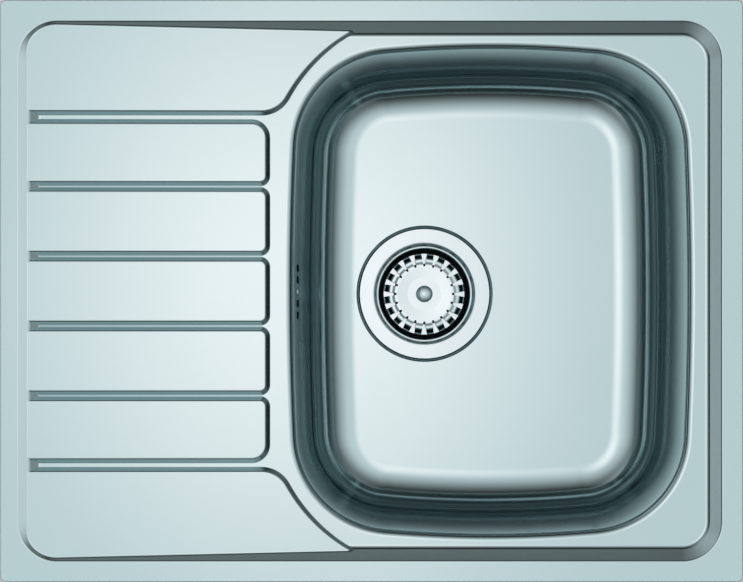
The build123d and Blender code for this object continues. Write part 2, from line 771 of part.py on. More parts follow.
with BuildPart() as overflow_insert:
    with BuildSketch(overflow_plane.offset(overflow_insert_start)):
        Circle(overflow_insert_radius)
        Circle(overflow_screw_radius + thread_clearance, mode=Mode.SUBTRACT)
    extrude(amount=overflow_insert_length)
overflow_insert.part.label = "overflow_insert"
export_step(overflow_insert.part, "parts/overflow_insert.step")

with BuildPart(mode=Mode.PRIVATE) as dome_screw:
    head_z = -wall_offset - overflow_gap
    with BuildSketch(Plane.XZ):
        with BuildLine():
            Polyline((0, head_z - overflow_screw_dome), (0, head_z), (overflow_screw_head, head_z))
            dome_edge = (overflow_screw_head, head_z)
            dome_top = (0, head_z - overflow_screw_dome)
            TangentArc(dome_top, dome_edge, tangent=(1, 0))
        make_face()
    revolve(axis=Axis.Z)
    with Locations((0, 0, head_z)):
        Cylinder(overflow_screw_radius, overflow_screw_reach - overflow_screw_dome, align=stand_up)
    with Locations((0, 0, head_z - overflow_screw_dome)):
        Box(overflow_drive, 3 * overflow_screw_head, 2 * overflow_drive, mode=Mode.SUBTRACT)

with BuildPart() as overflow_screw:
    with Locations(overflow_plane.location):
        add(dome_screw.part)
overflow_screw.part.label = "overflow_screw"
export_step(overflow_screw.part, "parts/overflow_screw.step")

# Overflow pipe down the outside of the bowl and across to the waste body
with BuildPart() as overflow_pipe:
    with BuildLine() as pipe_path:
        FilletPolyline(
            (pipe_x, 0, spigot_end + pipe_entry),
            (pipe_x, 0, branch_z),
            (branch_end + pipe_entry, 0, branch_z),
            radius=pipe_bend,
        )
    with BuildSketch(Plane(origin=(pipe_x, 0, spigot_end + pipe_entry), z_dir=(0, 0, -1))):
        Circle(pipe_radius)
        Circle(pipe_radius - pipe_wall, mode=Mode.SUBTRACT)
    sweep(path=pipe_path.wire())
overflow_pipe.part.label = "overflow_pipe"
export_step(overflow_pipe.part, "parts/overflow_pipe.step")

# Couplings at both ends of the pipe, +Z of each frame points along the pipe from the spigot
coupling_places = [
    Plane(origin=(pipe_x, 0, spigot_end), z_dir=(0, 0, -1)).location,
    Plane(origin=(branch_end, 0, branch_z), z_dir=(-1, 0, 0)).location,
]
with BuildPart(mode=Mode.PRIVATE) as coupling_seal:
    with BuildSketch():
        Circle(spigot_radius)
        Circle(spigot_bore, mode=Mode.SUBTRACT)
    extrude(amount=coupling_seal_length)

with BuildPart() as coupling_seals:
    with Locations(*coupling_places):
        add(coupling_seal.part)
coupling_seals.part.label = "coupling_seals"
export_step(coupling_seals.part, "parts/coupling_seals.step")

with BuildPart(mode=Mode.PRIVATE) as coupling_nut:
    nut_length = nut_skirt + coupling_seal_length + nut_floor
    with Locations((0, 0, -nut_skirt)):
        Cylinder(nut_radius, nut_length, align=stand_up)
        with PolarLocations(nut_radius, nut_ribs):
            Cylinder(nut_rib_radius, nut_length, align=stand_up)
        Cylinder(spigot_bore, nut_length, align=stand_up, mode=Mode.SUBTRACT)
        skirt_bore = spigot_radius + spigot_clearance
        Cylinder(skirt_bore, nut_skirt + coupling_seal_length, align=stand_up, mode=Mode.SUBTRACT)

with BuildPart() as coupling_nuts:
    with Locations(*coupling_places):
        add(coupling_nut.part)
coupling_nuts.part.label = "coupling_nuts"
export_step(coupling_nuts.part, "parts/coupling_nuts.step")
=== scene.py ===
"""Top-mount kitchen sink: pressed steel sheet, basket strainer, overflow and worktop clamps."""

import math

import bmesh
import bpy
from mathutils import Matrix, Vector
from mathutils.geometry import delaunay_2d_cdt, intersect_sphere_sphere_2d


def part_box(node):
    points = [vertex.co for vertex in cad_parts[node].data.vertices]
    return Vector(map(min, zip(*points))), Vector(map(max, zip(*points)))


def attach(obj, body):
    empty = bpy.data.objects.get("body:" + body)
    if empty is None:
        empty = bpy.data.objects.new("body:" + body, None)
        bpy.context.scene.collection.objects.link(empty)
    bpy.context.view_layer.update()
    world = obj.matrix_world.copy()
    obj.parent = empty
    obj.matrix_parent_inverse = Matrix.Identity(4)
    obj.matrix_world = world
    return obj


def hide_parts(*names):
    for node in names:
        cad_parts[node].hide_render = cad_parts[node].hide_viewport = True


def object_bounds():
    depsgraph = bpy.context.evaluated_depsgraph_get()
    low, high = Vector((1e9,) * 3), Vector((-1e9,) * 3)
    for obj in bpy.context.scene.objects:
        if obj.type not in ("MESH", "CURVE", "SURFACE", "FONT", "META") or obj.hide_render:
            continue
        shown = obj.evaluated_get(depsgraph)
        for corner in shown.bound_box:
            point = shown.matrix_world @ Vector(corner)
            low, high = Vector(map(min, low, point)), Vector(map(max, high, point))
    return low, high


bl_info = {
    "name": "Kitchen Sink Builder",
    "version": (1, 0, 0),
    "blender": (4, 5, 0),
    "location": "3D View > Sidebar > Sink",
    "description": "Dresses the packed model of a top-mount kitchen sink",
    "category": "Object",
}

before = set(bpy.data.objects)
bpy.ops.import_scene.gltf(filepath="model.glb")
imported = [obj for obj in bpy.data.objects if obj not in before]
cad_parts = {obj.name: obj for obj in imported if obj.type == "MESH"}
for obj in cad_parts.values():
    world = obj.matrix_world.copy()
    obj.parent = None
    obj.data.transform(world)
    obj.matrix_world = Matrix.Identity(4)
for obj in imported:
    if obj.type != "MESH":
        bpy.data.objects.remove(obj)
packed_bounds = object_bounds()

MM = 0.001
SINK_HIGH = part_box("sink_body")[1]
CUP_LOW, CUP_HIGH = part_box("strainer_cup")
DRAIN = (CUP_LOW.xy + CUP_HIGH.xy) / 2
WORKTOP_HEIGHT = 0.0
CLAMP_JAWS = [f"clamp_jaw_{number}" for number in range(1, 9)]
# Each point of the sheet carries its direction under this name until the sheet is shaded.
SHEET_WAY = "sheet_way"
# A face that leans further than this from that direction is a cut edge.
CUT_EDGE_LEAN = math.cos(math.radians(50))
# The parabola of a soft corner comes near a true arc at this share of the arc's reach.
BEND_SHARE = 0.85
# Most of a noise texture's values lie between these two.
NOISE_SPAN = (0.3, 0.7)
# A wave texture of scale 1 turns through this many radians in a metre.
WAVE_RATE = 20


def linear(hex_code):
    """Turns an sRGB hex colour into the linear values that Blender's sockets take"""
    channels = [int(hex_code[start:start + 2], 16) / 255 for start in (1, 3, 5)]
    return tuple(c / 12.92 if c <= 0.04045 else ((c + 0.055) / 1.055) ** 2.4 for c in channels)


def length(label, note, millimetres):
    """A property that holds a length, given in millimetres"""
    return bpy.props.FloatProperty(
        name=label, description=note, default=millimetres * MM, unit="LENGTH", precision=5
    )


def angle(label, note, degrees):
    """A property that holds an angle, given in degrees"""
    return bpy.props.FloatProperty(
        name=label, description=note, default=math.radians(degrees), unit="ROTATION"
    )


def tint(label, note, hex_code):
    """A property that holds a colour, given as sRGB hex"""
    return bpy.props.FloatVectorProperty(
        name=label, description=note, default=linear(hex_code), subtype="COLOR", size=3, min=0, max=1
    )


class SheetSizes(bpy.types.PropertyGroup):
    """Sizes of the pressed steel sheet"""

    sheet: length("Sheet", "Thickness of the steel", 0.8)
    rim_band: length("Rim band", "Flat rim at the rear, front and bowl end", 17.6)
    rim_band_left: length("Drainer rim band", "Flat rim at the drainer end", 14.8)
    rim_corner: length("Rim corner", "Corner radius of the rim's outline", 5.0)
    rim_edge_radius: length("Rim edge radius", "Rounding of the rim's outer edge", 0.8)
    pocket_corner: length("Pocket corner", "Corner radius of the pressed pocket", 33.4)
    crest_radius: length("Crest radius", "Rounding where the rim turns down", 2.4)
    foot_radius: length("Foot radius", "Rounding where the walls meet the deck", 6.0)
    deck_drop: length("Deck drop", "Depth of the deck below the rim", 11.4)
    wall_angle: angle("Wall angle", "Slope of the pocket's rear, front and bowl end", 45.0)
    left_wall_angle: angle("Drainer wall angle", "Slope of the pocket's drainer end", 15.5)
    deck_ledge: length("Deck ledge", "Flat deck between the bowl and the long walls", 10.75)
    deck_ledge_right: length("End deck ledge", "Flat deck between the bowl and the end wall", 16.25)
    bowl_length: length("Bowl length", "Mouth of the bowl along the sink", 335.5)
    bowl_corner: length("Bowl corner", "Corner radius of the mouth", 82.0)
    bowl_bow_end: length("End bow", "Rise of the mouth's bowed ends", 7.0)
    bowl_bow_side: length("Side bow", "Rise of the mouth's bowed sides", 13.0)
    bowl_depth: length("Bowl depth", "Depth of the floor below the rim", 160.0)
    bowl_draft: angle("Bowl draft", "Lean of the bowl's walls", 7.0)
    bowl_floor_radius: length("Floor radius", "Rounding between the long walls and the floor", 37.0)
    bowl_end_floor_radius: length("End floor radius", "Rounding between the end walls and the floor", 40.5)
    bowl_roll_radius: length("Roll radius", "Rounding of the mouth's edge", 7.0)


class DrainerSizes(bpy.types.PropertyGroup):
    """Sizes of the fluted drainer, the drain recess and the overflow slots"""

    side_panel_width: length("Side panel", "Width of the two outer straight panels", 49.4)
    channel_width: length("Channel", "Width of the inner channels at their top", 8.0)
    outer_channel_width: length("Outer channel", "Width of the outer channels at their top", 10.6)
    end_setback: length("End setback", "How far the swept panels start inside the mouth", 53.6)
    panel_gap: length("Panel gap", "Deck between the panels' ends and the bowl", 22.85)
    panel_corner: length("Panel corner", "Corner radius of the inner panels", 5.0)
    side_panel_corner: length("Side panel corner", "Outer corner radius of the side panels", 12.0)
    panel_side_angle: angle("Panel side angle", "Slope of the panels' sides", 52.5)
    panel_edge_radius: length("Panel edge radius", "Rounding of the panels' top edges", 2.6)
    panel_foot_radius: length("Panel foot radius", "Rounding where the panels meet the walls", 2.6)
    channel_radius: length("Channel radius", "Rounding at the foot of the panels' sides", 0.9)
    panel_drop: length("Panel drop", "Depth of the panels below the rim at the drainer end", 2.28)
    panel_fall: angle("Panel fall", "Slope of the panels towards the bowl", 1.25)
    channel_fall: angle("Channel fall", "Slope of the channels towards the bowl", 1.25)
    channel_end_angle: angle("Channel end angle", "Slope of the channels' ends at the drainer wall", 29.0)
    fall_lead: length("Fall lead", "Level run of the channels before the deck", 5.0)
    shoulder_setback: length("Shoulder setback", "Start of the swept panels' shoulder", 3.7)
    shoulder_radius: length("Shoulder radius", "Radius of the swept panels' shoulder", 24.1)
    shoulder_angle: angle("Shoulder angle", "Turn of the swept panels' shoulder", 60.7)
    hollow_radius: length("Hollow radius", "Radius of the swept panels' long hollow", 144.0)
    tip_angle: angle("Tip angle", "Direction of the sweep where it meets the wall", 12.0)
    recess_radius: length("Recess radius", "Pressed recess round the drain", 60.4)
    recess_run: length("Recess run", "Width of the recess's sloping wall", 2.9)
    recess_drop: length("Recess drop", "Depth of the recess", 2.5)
    recess_bend: length("Recess bend", "Rounding of the recess", 0.5)
    drain_hole_radius: length("Drain hole radius", "Hole under the strainer's flange", 45.0)
    slot_pitch: length("Slot pitch", "Distance between overflow slots", 10.15)
    slot_width: length("Slot width", "Width of an overflow slot", 6.3)
    slot_height: length("Slot height", "Height of an overflow slot", 16.0)
    overflow_drop: length("Overflow drop", "Depth of the slots' middle below the deck", 32.0)


class SinkColours(bpy.types.PropertyGroup):
    """Colours of the sink's materials"""

    steel: tint("Sheet steel", "Cool grey of satin stainless sheet", "#A8BDC0")
    bright_steel: tint("Bright steel", "Pale grey of polished stainless steel", "#B0C2C6")
    zinc: tint("Zinc", "Blue-white of bright zinc plating", "#B9BEC2")
    rubber: tint("Rubber", "Black of moulded rubber", "#1B1B1C")
    foam: tint("Foam", "Dark grey of closed-cell foam", "#3A3A3C")
    waste: tint("Waste plastic", "Off-white of moulded polypropylene", "#E2E1DB")
    pipe: tint("Pipe plastic", "Pale grey of extruded polypropylene", "#D6D6D0")
    nut: tint("Nut plastic", "Dark grey of the coupling nuts", "#4B4E52")
    brass: tint("Brass", "Yellow of turned brass", "#D3B06A")
    bitumen: tint("Bitumen", "Black grey of the damping pad", "#38383A")
    floor: tint("Floor", "Pale floor of the stage", "#EDEEEE")


def soft_max(a, b, reach):
    """The higher of two heights, rounded where they come within reach of each other"""
    near = max(reach - abs(a - b), 0)
    return max(a, b) + near * near / (4 * reach)


def soft_min(a, b, reach):
    """The lower of two heights, rounded where they come within reach of each other"""
    return -soft_max(-a, -b, reach)


def bend_reach(radius, slope):
    """The reach that rounds a bend between a level and that slope to about that radius"""
    return BEND_SHARE * radius * slope * math.tan(math.atan(slope) / 2)


def smooth_step(value):
    """Eases from 0 to 1"""
    share = min(max(value, 0), 1)
    return share * share * (3 - 2 * share)


def arc_rise(radius, across):
    """Height of an arc above its centre, that far to one side of it"""
    return math.sqrt(max(radius * radius - across * across, 0))


def inside_corner(reach_x, reach_y, corner):
    """Distance inside a rounded corner of a point that far past the corner's centre each way"""
    outside = math.hypot(max(reach_x, 0), max(reach_y, 0))
    return corner - outside - min(max(reach_x, reach_y), 0)


def over_bend(reach, parts=4, past=6):
    """Offsets over a bend: its reach is cut into parts, and so many lie each side of its middle"""
    return [reach * share / parts for share in range(-past, past + 1)]


def arc_steps(start, end, step):
    """Angles from start up to but not at end, about step apart"""
    count = max(2, math.ceil(abs(end - start) / step))
    return [start + (end - start) * index / count for index in range(count)]


def spaced(start, end, step):
    """Positions from start to end, about step apart"""
    count = max(1, math.ceil(abs(end - start) / step))
    return [start + (end - start) * index / count for index in range(count + 1)]


def on_arc(centre, radius, turn):
    """A point on an arc with its outward direction"""
    outward = Vector((math.cos(turn), math.sin(turn)))
    return centre + radius * outward, outward


def mirrored(line):
    """The same line on the sink's other side"""
    return [(Vector((p.x, -p.y)), Vector((n.x, -n.y))) for p, n in line]


def inset(line, distance):
    """Points of a line moved inwards, against their outward directions"""
    return [p - n * distance for p, n in line]


def rounded_box(centre_x, half_length, half_width, corner, straight_step, corner_step):
    """Outline of a rounded rectangle, as points with their outward directions"""
    line = []
    for quarter, (side_x, side_y) in enumerate(((1, 1), (-1, 1), (-1, -1), (1, -1))):
        centre = Vector((centre_x + side_x * (half_length - corner), side_y * (half_width - corner)))
        start = quarter * math.pi / 2
        end = start + math.pi / 2
        line += [on_arc(centre, corner, turn) for turn in arc_steps(start, end, corner_step)]
        last, outward = on_arc(centre, corner, end)
        along = Vector((-outward.y, outward.x))
        run = 2 * ((half_width if quarter % 2 else half_length) - corner)
        count = math.ceil(run / straight_step)
        line += [(last + along * run * index / count, outward) for index in range(count)]
    return line


class Pressing:
    """The upper face of the pressed sheet: its heights, and the lines that it bends along"""

    # Spacing of the points along the lines, and of the loose points between the lines.
    STRAIGHT_STEP = 9 * MM
    FINE_STEP = 1.2 * MM
    GRID_STEP = 14 * MM
    MERGE_REACH = 0.02 * MM
    TURN_STEP = math.radians(3)
    TIGHT_TURN_STEP = math.radians(12)
    SHOULDER_STEP = math.radians(5)
    HOLLOW_STEP = math.radians(1.6)
    # Lines over the rim's rounded edge, the bowl's rolled edge and the bend to its floor.
    RIM_STEPS = 6
    ROLL_STEPS = 14
    FLOOR_STEPS = 18
    # The drainer's lines start inside its end wall and are fine for a first stretch.
    WALL_OVERLAP = 3 * MM
    PANEL_FINE_RUN = 16 * MM
    CHANNEL_FINE_RUN = 26 * MM
    # A point of the pocket's outline is on its rear side where it faces the rear this squarely.
    REAR_FACING = 0.99
    # The drainer wall turns steep in the channels this many panel drops below the rim.
    END_LIP = 1.2
    # The overflow's slots lie each side of its screw, near the mouth's drainer side.
    SLOT_PLACES = (-2, -1, 1, 2)
    SLOT_REACH = 20 * MM
    SLOT_MARGIN = 2 * MM

    def __init__(self, sizes, drainer):
        self.sizes = sizes
        self.drainer = drainer
        self.half_length = SINK_HIGH.x
        self.half_width = SINK_HIGH.y
        self.rim = SINK_HIGH.z
        self.deck = self.rim - sizes.deck_drop
        self.floor = self.rim - sizes.bowl_depth
        self.wall_slope = math.tan(sizes.wall_angle)
        self.left_slope = math.tan(sizes.left_wall_angle)
        self.end_slope = math.tan(drainer.channel_end_angle)
        self.slot_half = drainer.slot_width / 2
        self.slot_straight = drainer.slot_height / 2 - self.slot_half
        self.plan_pocket()
        self.plan_mouth()
        self.plan_panels()

    def plan_pocket(self):
        """Places the pocket's outline inside the rim"""
        sizes = self.sizes
        left = -self.half_length + sizes.rim_band_left
        right = self.half_length - sizes.rim_band
        self.pocket_x = (left + right) / 2
        self.pocket_half_length = (right - left) / 2
        self.pocket_half_width = self.half_width - sizes.rim_band
        self.pocket_line = rounded_box(
            self.pocket_x, self.pocket_half_length, self.pocket_half_width,
            sizes.pocket_corner, self.STRAIGHT_STEP, self.TURN_STEP,
        )

    def plan_mouth(self):
        """Places the bowl's mouth, a bowed rectangle of eight arcs, and its wall's bends"""
        sizes = self.sizes
        wall_run = sizes.deck_drop / self.wall_slope
        right = self.half_length - sizes.rim_band - wall_run - sizes.deck_ledge_right
        half_length = sizes.bowl_length / 2
        half_width = self.pocket_half_width - wall_run - sizes.deck_ledge
        self.mouth_half_width = half_width
        self.mouth_left = right - sizes.bowl_length
        self.bowl_x = right - half_length
        end_chord = half_width - sizes.bowl_bow_side
        side_chord = half_length - sizes.bowl_bow_end
        self.end_radius = (end_chord ** 2 + sizes.bowl_bow_end ** 2) / (2 * sizes.bowl_bow_end)
        self.side_radius = (side_chord ** 2 + sizes.bowl_bow_side ** 2) / (2 * sizes.bowl_bow_side)
        self.end_centre = Vector((half_length - self.end_radius, 0))
        self.side_centre = Vector((0, half_width - self.side_radius))
        meetings = intersect_sphere_sphere_2d(
            self.end_centre, self.end_radius - sizes.bowl_corner,
            self.side_centre, self.side_radius - sizes.bowl_corner,
        )
        self.corner_centre = max(meetings, key=lambda point: point.x + point.y)
        end_reach = self.corner_centre - self.end_centre
        side_reach = self.corner_centre - self.side_centre
        self.corner_start = math.atan2(end_reach.y, end_reach.x)
        self.corner_end = math.atan2(side_reach.y, side_reach.x)
        self.bowl_slope = 1 / math.tan(sizes.bowl_draft)
        self.bowl_turn = math.pi / 2 - sizes.bowl_draft
        roll_tangent = sizes.bowl_roll_radius * math.tan(self.bowl_turn / 2)
        self.roll_start = -roll_tangent
        self.roll_end = roll_tangent * math.sin(sizes.bowl_draft)
        self.mouth_line = self.walk_mouth()

    def walk_mouth(self):
        """Points along the mouth with their outward directions"""
        radius = self.sizes.bowl_corner
        low, high = self.corner_start, self.corner_end
        end_step = self.STRAIGHT_STEP / self.end_radius
        side_step = self.STRAIGHT_STEP / self.side_radius
        middle = Vector((self.bowl_x, 0))
        line = []
        for half_turn, sign in ((0, 1), (math.pi, -1)):
            end_centre = middle + sign * self.end_centre
            side_centre = middle + sign * self.side_centre
            near = middle + sign * self.corner_centre
            far = middle + sign * Vector((-self.corner_centre.x, self.corner_centre.y))
            runs = (
                (end_centre, self.end_radius, -low, low, end_step),
                (near, radius, low, high, self.TURN_STEP),
                (side_centre, self.side_radius, high, math.pi - high, side_step),
                (far, radius, math.pi - high, math.pi - low, self.TURN_STEP),
            )
            for centre, reach, start, end, step in runs:
                turns = arc_steps(start + half_turn, end + half_turn, step)
                line += [on_arc(centre, reach, turn) for turn in turns]
        return line

    def plan_panels(self):
        """Places the five straight panels and the two swept ones beside the long walls"""
        drainer = self.drainer
        self.panel_end = self.mouth_left - drainer.panel_gap
        self.panel_left = (
            -self.half_length + self.sizes.rim_band_left + drainer.panel_drop / self.left_slope
        )
        self.side_slope = math.tan(drainer.panel_side_angle)
        self.fall_start = self.panel_end + drainer.fall_lead
        self.end_low = self.mouth_half_width - drainer.end_setback
        side_high = self.end_low - drainer.outer_channel_width
        side_low = side_high - drainer.side_panel_width
        panel_width = (2 * side_low - 4 * drainer.channel_width) / 3
        inner_low = panel_width / 2 + drainer.channel_width
        small, large = drainer.panel_corner, drainer.side_panel_corner
        self.panels = [
            (-panel_width / 2, panel_width / 2, small, small),
            (inner_low, inner_low + panel_width, small, small),
            (-inner_low - panel_width, -inner_low, small, small),
            (side_low, side_high, small, large),
            (-side_high, -side_low, large, small),
        ]
        self.shoulder = Vector(
            (self.panel_end - drainer.shoulder_setback, self.end_low + drainer.shoulder_radius)
        )
        turn = drainer.shoulder_angle
        way = Vector((math.sin(turn), -math.cos(turn)))
        self.hollow = self.shoulder + way * (drainer.shoulder_radius + drainer.hollow_radius)

    def panel_top(self, x):
        """Height of the panels' plane"""
        drop = self.drainer.panel_drop + math.tan(self.drainer.panel_fall) * (x - self.panel_left)
        return self.rim - drop

    def channel_floor(self, x):
        """Height of the deck, and of the channels that rise from it to the drainer end"""
        return self.deck + max(self.fall_start - x, 0) * math.tan(self.drainer.channel_fall)

    def wall_slope_at(self, x, y):
        """Slope of the pocket's wall, eased round the two drainer corners"""
        corner = self.sizes.pocket_corner
        centre_x = self.pocket_x - self.pocket_half_length + corner
        centre_y = self.pocket_half_width - corner
        if x >= centre_x:
            return self.wall_slope
        if abs(y) <= centre_y:
            return self.left_slope
        share = math.atan2(abs(y) - centre_y, centre_x - x) / (math.pi / 2)
        return self.left_slope + (self.wall_slope - self.left_slope) * smooth_step(share)

    @staticmethod
    def inside_box(x, y, half_length, half_width, corner):
        """Distance of a point inside a rounded rectangle about the origin, negative outside"""
        return inside_corner(abs(x) - half_length + corner, abs(y) - half_width + corner, corner)

    def inside_panel(self, x, y, panel):
        """Distance of a point inside a straight panel, negative outside"""
        low, high, low_corner, high_corner = panel
        corner = high_corner if y > (low + high) / 2 else low_corner
        reach_x = x - self.panel_end + corner
        reach_y = abs(y - (low + high) / 2) - (high - low) / 2 + corner
        return inside_corner(reach_x, reach_y, corner)

    def inside_sweep(self, x, y):
        """Distance of a point inside the nearer swept panel, negative outside"""
        drainer = self.drainer
        point = Vector((x, abs(y)))
        if x <= self.shoulder.x:
            return point.y - self.end_low
        if x >= self.hollow.x:
            return point.y - self.hollow.y - drainer.hollow_radius
        from_shoulder = point - self.shoulder
        turn = math.atan2(from_shoulder.x, -from_shoulder.y)
        if turn <= drainer.shoulder_angle:
            return drainer.shoulder_radius - from_shoulder.length
        return (point - self.hollow).length - drainer.hollow_radius

    def inside_mouth(self, x, y):
        """Distance of a point inside the bowl's mouth, negative outside"""
        point = Vector((abs(x - self.bowl_x), abs(y)))
        from_corner = point - self.corner_centre
        turn = math.atan2(from_corner.y, from_corner.x)
        if self.corner_start <= turn <= self.corner_end:
            return self.sizes.bowl_corner - from_corner.length
        end = self.end_radius - (point - self.end_centre).length
        side = self.side_radius - (point - self.side_centre).length
        return min(end, side)

    def floor_bend(self, turn):
        """Radius of the bend to the floor, and where it starts and ends inside the mouth"""
        sizes = self.sizes
        share = smooth_step((turn - self.corner_start) / (self.corner_end - self.corner_start))
        radius = sizes.bowl_end_floor_radius
        radius += (sizes.bowl_floor_radius - sizes.bowl_end_floor_radius) * share
        tangent = radius * math.tan(self.bowl_turn / 2)
        meeting = (self.deck - self.floor) / self.bowl_slope
        return radius, meeting - tangent * math.sin(sizes.bowl_draft), meeting + tangent

    def bowl_height(self, x, y, inside):
        """Height of the bowl's face at a point of the plan, that far inside the mouth"""
        roll = self.sizes.bowl_roll_radius
        from_corner = Vector((abs(x - self.bowl_x), abs(y))) - self.corner_centre
        radius, start, end = self.floor_bend(math.atan2(from_corner.y, from_corner.x))
        if inside <= self.roll_end:
            return self.deck - roll + arc_rise(roll, inside - self.roll_start)
        if inside <= start:
            return self.deck - self.bowl_slope * inside
        if inside <= end:
            return self.floor + radius - arc_rise(radius, end - inside)
        return self.recess_height(x, y)

    def wall_height(self, slope, inside):
        """Height of the pocket's wall, which turns steep where a channel ends in it"""
        high = self.rim - slope * inside
        if slope >= self.end_slope:
            return high
        lip = self.END_LIP * self.drainer.panel_drop
        low = self.rim - lip - self.end_slope * (inside - lip / slope)
        return soft_min(high, low, bend_reach(self.drainer.panel_edge_radius, self.end_slope - slope))

    def recess_height(self, x, y):
        """Height of the bowl's floor with the drain's recess in it"""
        drainer = self.drainer
        slope = drainer.recess_drop / drainer.recess_run
        reach = bend_reach(drainer.recess_bend, slope)
        radius = (Vector((x, y)) - DRAIN).length
        wall = self.floor - (drainer.recess_radius - radius) * slope
        low = soft_max(self.floor - drainer.recess_drop, wall, reach)
        return soft_min(self.floor, low, reach)

    def drainer_height(self, x, y):
        """Height of the deck, the panels and the pocket's walls, up to the rim"""
        sizes, drainer = self.sizes, self.drainer
        slope = self.wall_slope_at(x, y)
        inside = self.inside_box(
            x - self.pocket_x, y, self.pocket_half_length, self.pocket_half_width, sizes.pocket_corner
        )
        wall = self.wall_height(slope, inside)
        low = self.channel_floor(x)
        panel_top = self.panel_top(x)
        channel_reach = bend_reach(drainer.channel_radius, self.side_slope)
        edge_reach = bend_reach(drainer.panel_edge_radius, self.side_slope)
        within = [self.inside_panel(x, y, panel) for panel in self.panels]
        within.append(self.inside_sweep(x, y))
        side = panel_top + self.side_slope * max(within)
        ground = soft_max(low, soft_min(panel_top, side, edge_reach), channel_reach)
        share = (ground - low) / (panel_top - low)
        foot = sizes.foot_radius + (drainer.panel_foot_radius - sizes.foot_radius) * smooth_step(share)
        pocket = soft_max(wall, ground, bend_reach(foot, slope))
        return soft_min(self.rim, pocket, bend_reach(sizes.crest_radius, slope))

    def height(self, x, y):
        """Height of the sheet's upper face at a point of the plan"""
        inside = self.inside_mouth(x, y)
        if inside > self.roll_start:
            return self.bowl_height(x, y, inside)
        radius = self.sizes.rim_edge_radius
        from_edge = self.inside_box(x, y, self.half_length, self.half_width, self.sizes.rim_corner)
        if from_edge < radius:
            return self.rim - radius + arc_rise(radius, radius - from_edge)
        return self.drainer_height(x, y)

    def normal(self, x, y):
        """Upward direction square to the sheet's upper face"""
        step = 0.01 * MM
        rise_x = self.height(x + step, y) - self.height(x - step, y)
        rise_y = self.height(x, y + step) - self.height(x, y - step)
        return Vector((-rise_x, -rise_y, 2 * step)).normalized()

    def rim_lines(self):
        """Closed lines over the rounding of the rim's outer edge"""
        sizes = self.sizes
        outline = rounded_box(
            0, self.half_length, self.half_width, sizes.rim_corner, self.STRAIGHT_STEP, self.TIGHT_TURN_STEP
        )
        radius = sizes.rim_edge_radius
        turns = [index * math.pi / (2 * self.RIM_STEPS) for index in range(self.RIM_STEPS + 1)]
        offsets = [radius * (1 - math.cos(turn)) for turn in turns]
        beside = 1.3 * radius
        return [inset(outline, distance) for distance in offsets + [beside]]

    def crest_lines(self):
        """Closed lines over the bend from the rim into the pocket's walls"""
        reach = self.sizes.crest_radius * math.tan(self.sizes.wall_angle / 2)
        return [inset(self.pocket_line, offset) for offset in over_bend(reach)]

    def pocket_from(self, limit):
        """The pocket's outline, started on its rear side where it comes below that x"""
        rear = (i for i, (p, n) in enumerate(self.pocket_line) if n.y > self.REAR_FACING and p.x < limit)
        start = next(rear)
        return self.pocket_line[start:] + self.pocket_line[:start]

    def foot_lines(self):
        """Open lines over the bend from the walls to the deck, round the bowl's end"""
        middle = self.sizes.deck_drop / self.wall_slope
        reach = self.sizes.foot_radius * math.tan(self.sizes.wall_angle / 2)
        turned = self.pocket_from(self.panel_end)
        right = [entry for entry in reversed(turned) if entry[0].x > self.panel_end]
        offsets = [middle / 2] + [middle + offset for offset in over_bend(reach, parts=5, past=7)]
        return [inset(right, distance) for distance in offsets]

    def panel_foot_lines(self):
        """Open lines where the panels' plane meets the walls, round the drainer's end"""
        tip = self.hollow.x
        rows = []
        for point, outward in self.pocket_from(tip):
            if point.x < tip:
                slope = self.wall_slope_at(point.x, point.y)
                middle = (self.rim - self.panel_top(max(point.x, self.panel_left))) / slope
                half = self.drainer.panel_foot_radius * math.tan(math.atan(slope) / 2)
                rows.append([point - outward * (middle + offset) for offset in over_bend(half)])
        return [list(line) for line in zip(*rows)]

    def along_drainer(self, fine_run, end):
        """Positions along the drainer, close together in a first run and then at the straight step"""
        fine_end = self.panel_left + fine_run
        fine = spaced(self.panel_left - self.WALL_OVERLAP, fine_end, self.FINE_STEP)
        return fine + spaced(fine_end, end, self.STRAIGHT_STEP)[1:]

    def panel_outline(self, panel):
        """Open outline of a straight panel, from the drainer end round and back"""
        low, high, low_corner, high_corner = panel
        line = []
        for y, corner, outward in ((low, low_corner, -1), (high, high_corner, 1)):
            centre = Vector((self.panel_end - corner, y - outward * corner))
            along = self.along_drainer(self.PANEL_FINE_RUN, self.panel_end - corner)[:-1]
            edge = [(Vector((x, y)), Vector((0, outward))) for x in along]
            turns = arc_steps(outward * math.pi / 2, 0, self.TIGHT_TURN_STEP)
            edge += [on_arc(centre, corner, turn) for turn in turns]
            edge.append((Vector((self.panel_end, y - outward * corner)), Vector((1, 0))))
            line += edge if outward < 0 else edge[::-1]
        return line

    def sweep_outline(self):
        """Open outline of the rear swept panel, from the drainer end to its tip at the wall"""
        drainer = self.drainer
        along = self.along_drainer(self.PANEL_FINE_RUN, self.shoulder.x)[:-1]
        line = [(Vector((x, self.end_low)), Vector((0, -1))) for x in along]
        down = -math.pi / 2
        turns = arc_steps(down, down + drainer.shoulder_angle, self.SHOULDER_STEP)
        line += [on_arc(self.shoulder, drainer.shoulder_radius, turn) for turn in turns]
        start = math.pi / 2 + drainer.shoulder_angle
        for turn in arc_steps(start, math.pi / 2 + drainer.tip_angle, self.HOLLOW_STEP):
            point, outward = on_arc(self.hollow, drainer.hollow_radius, turn)
            line.append((point, -outward))
        return line

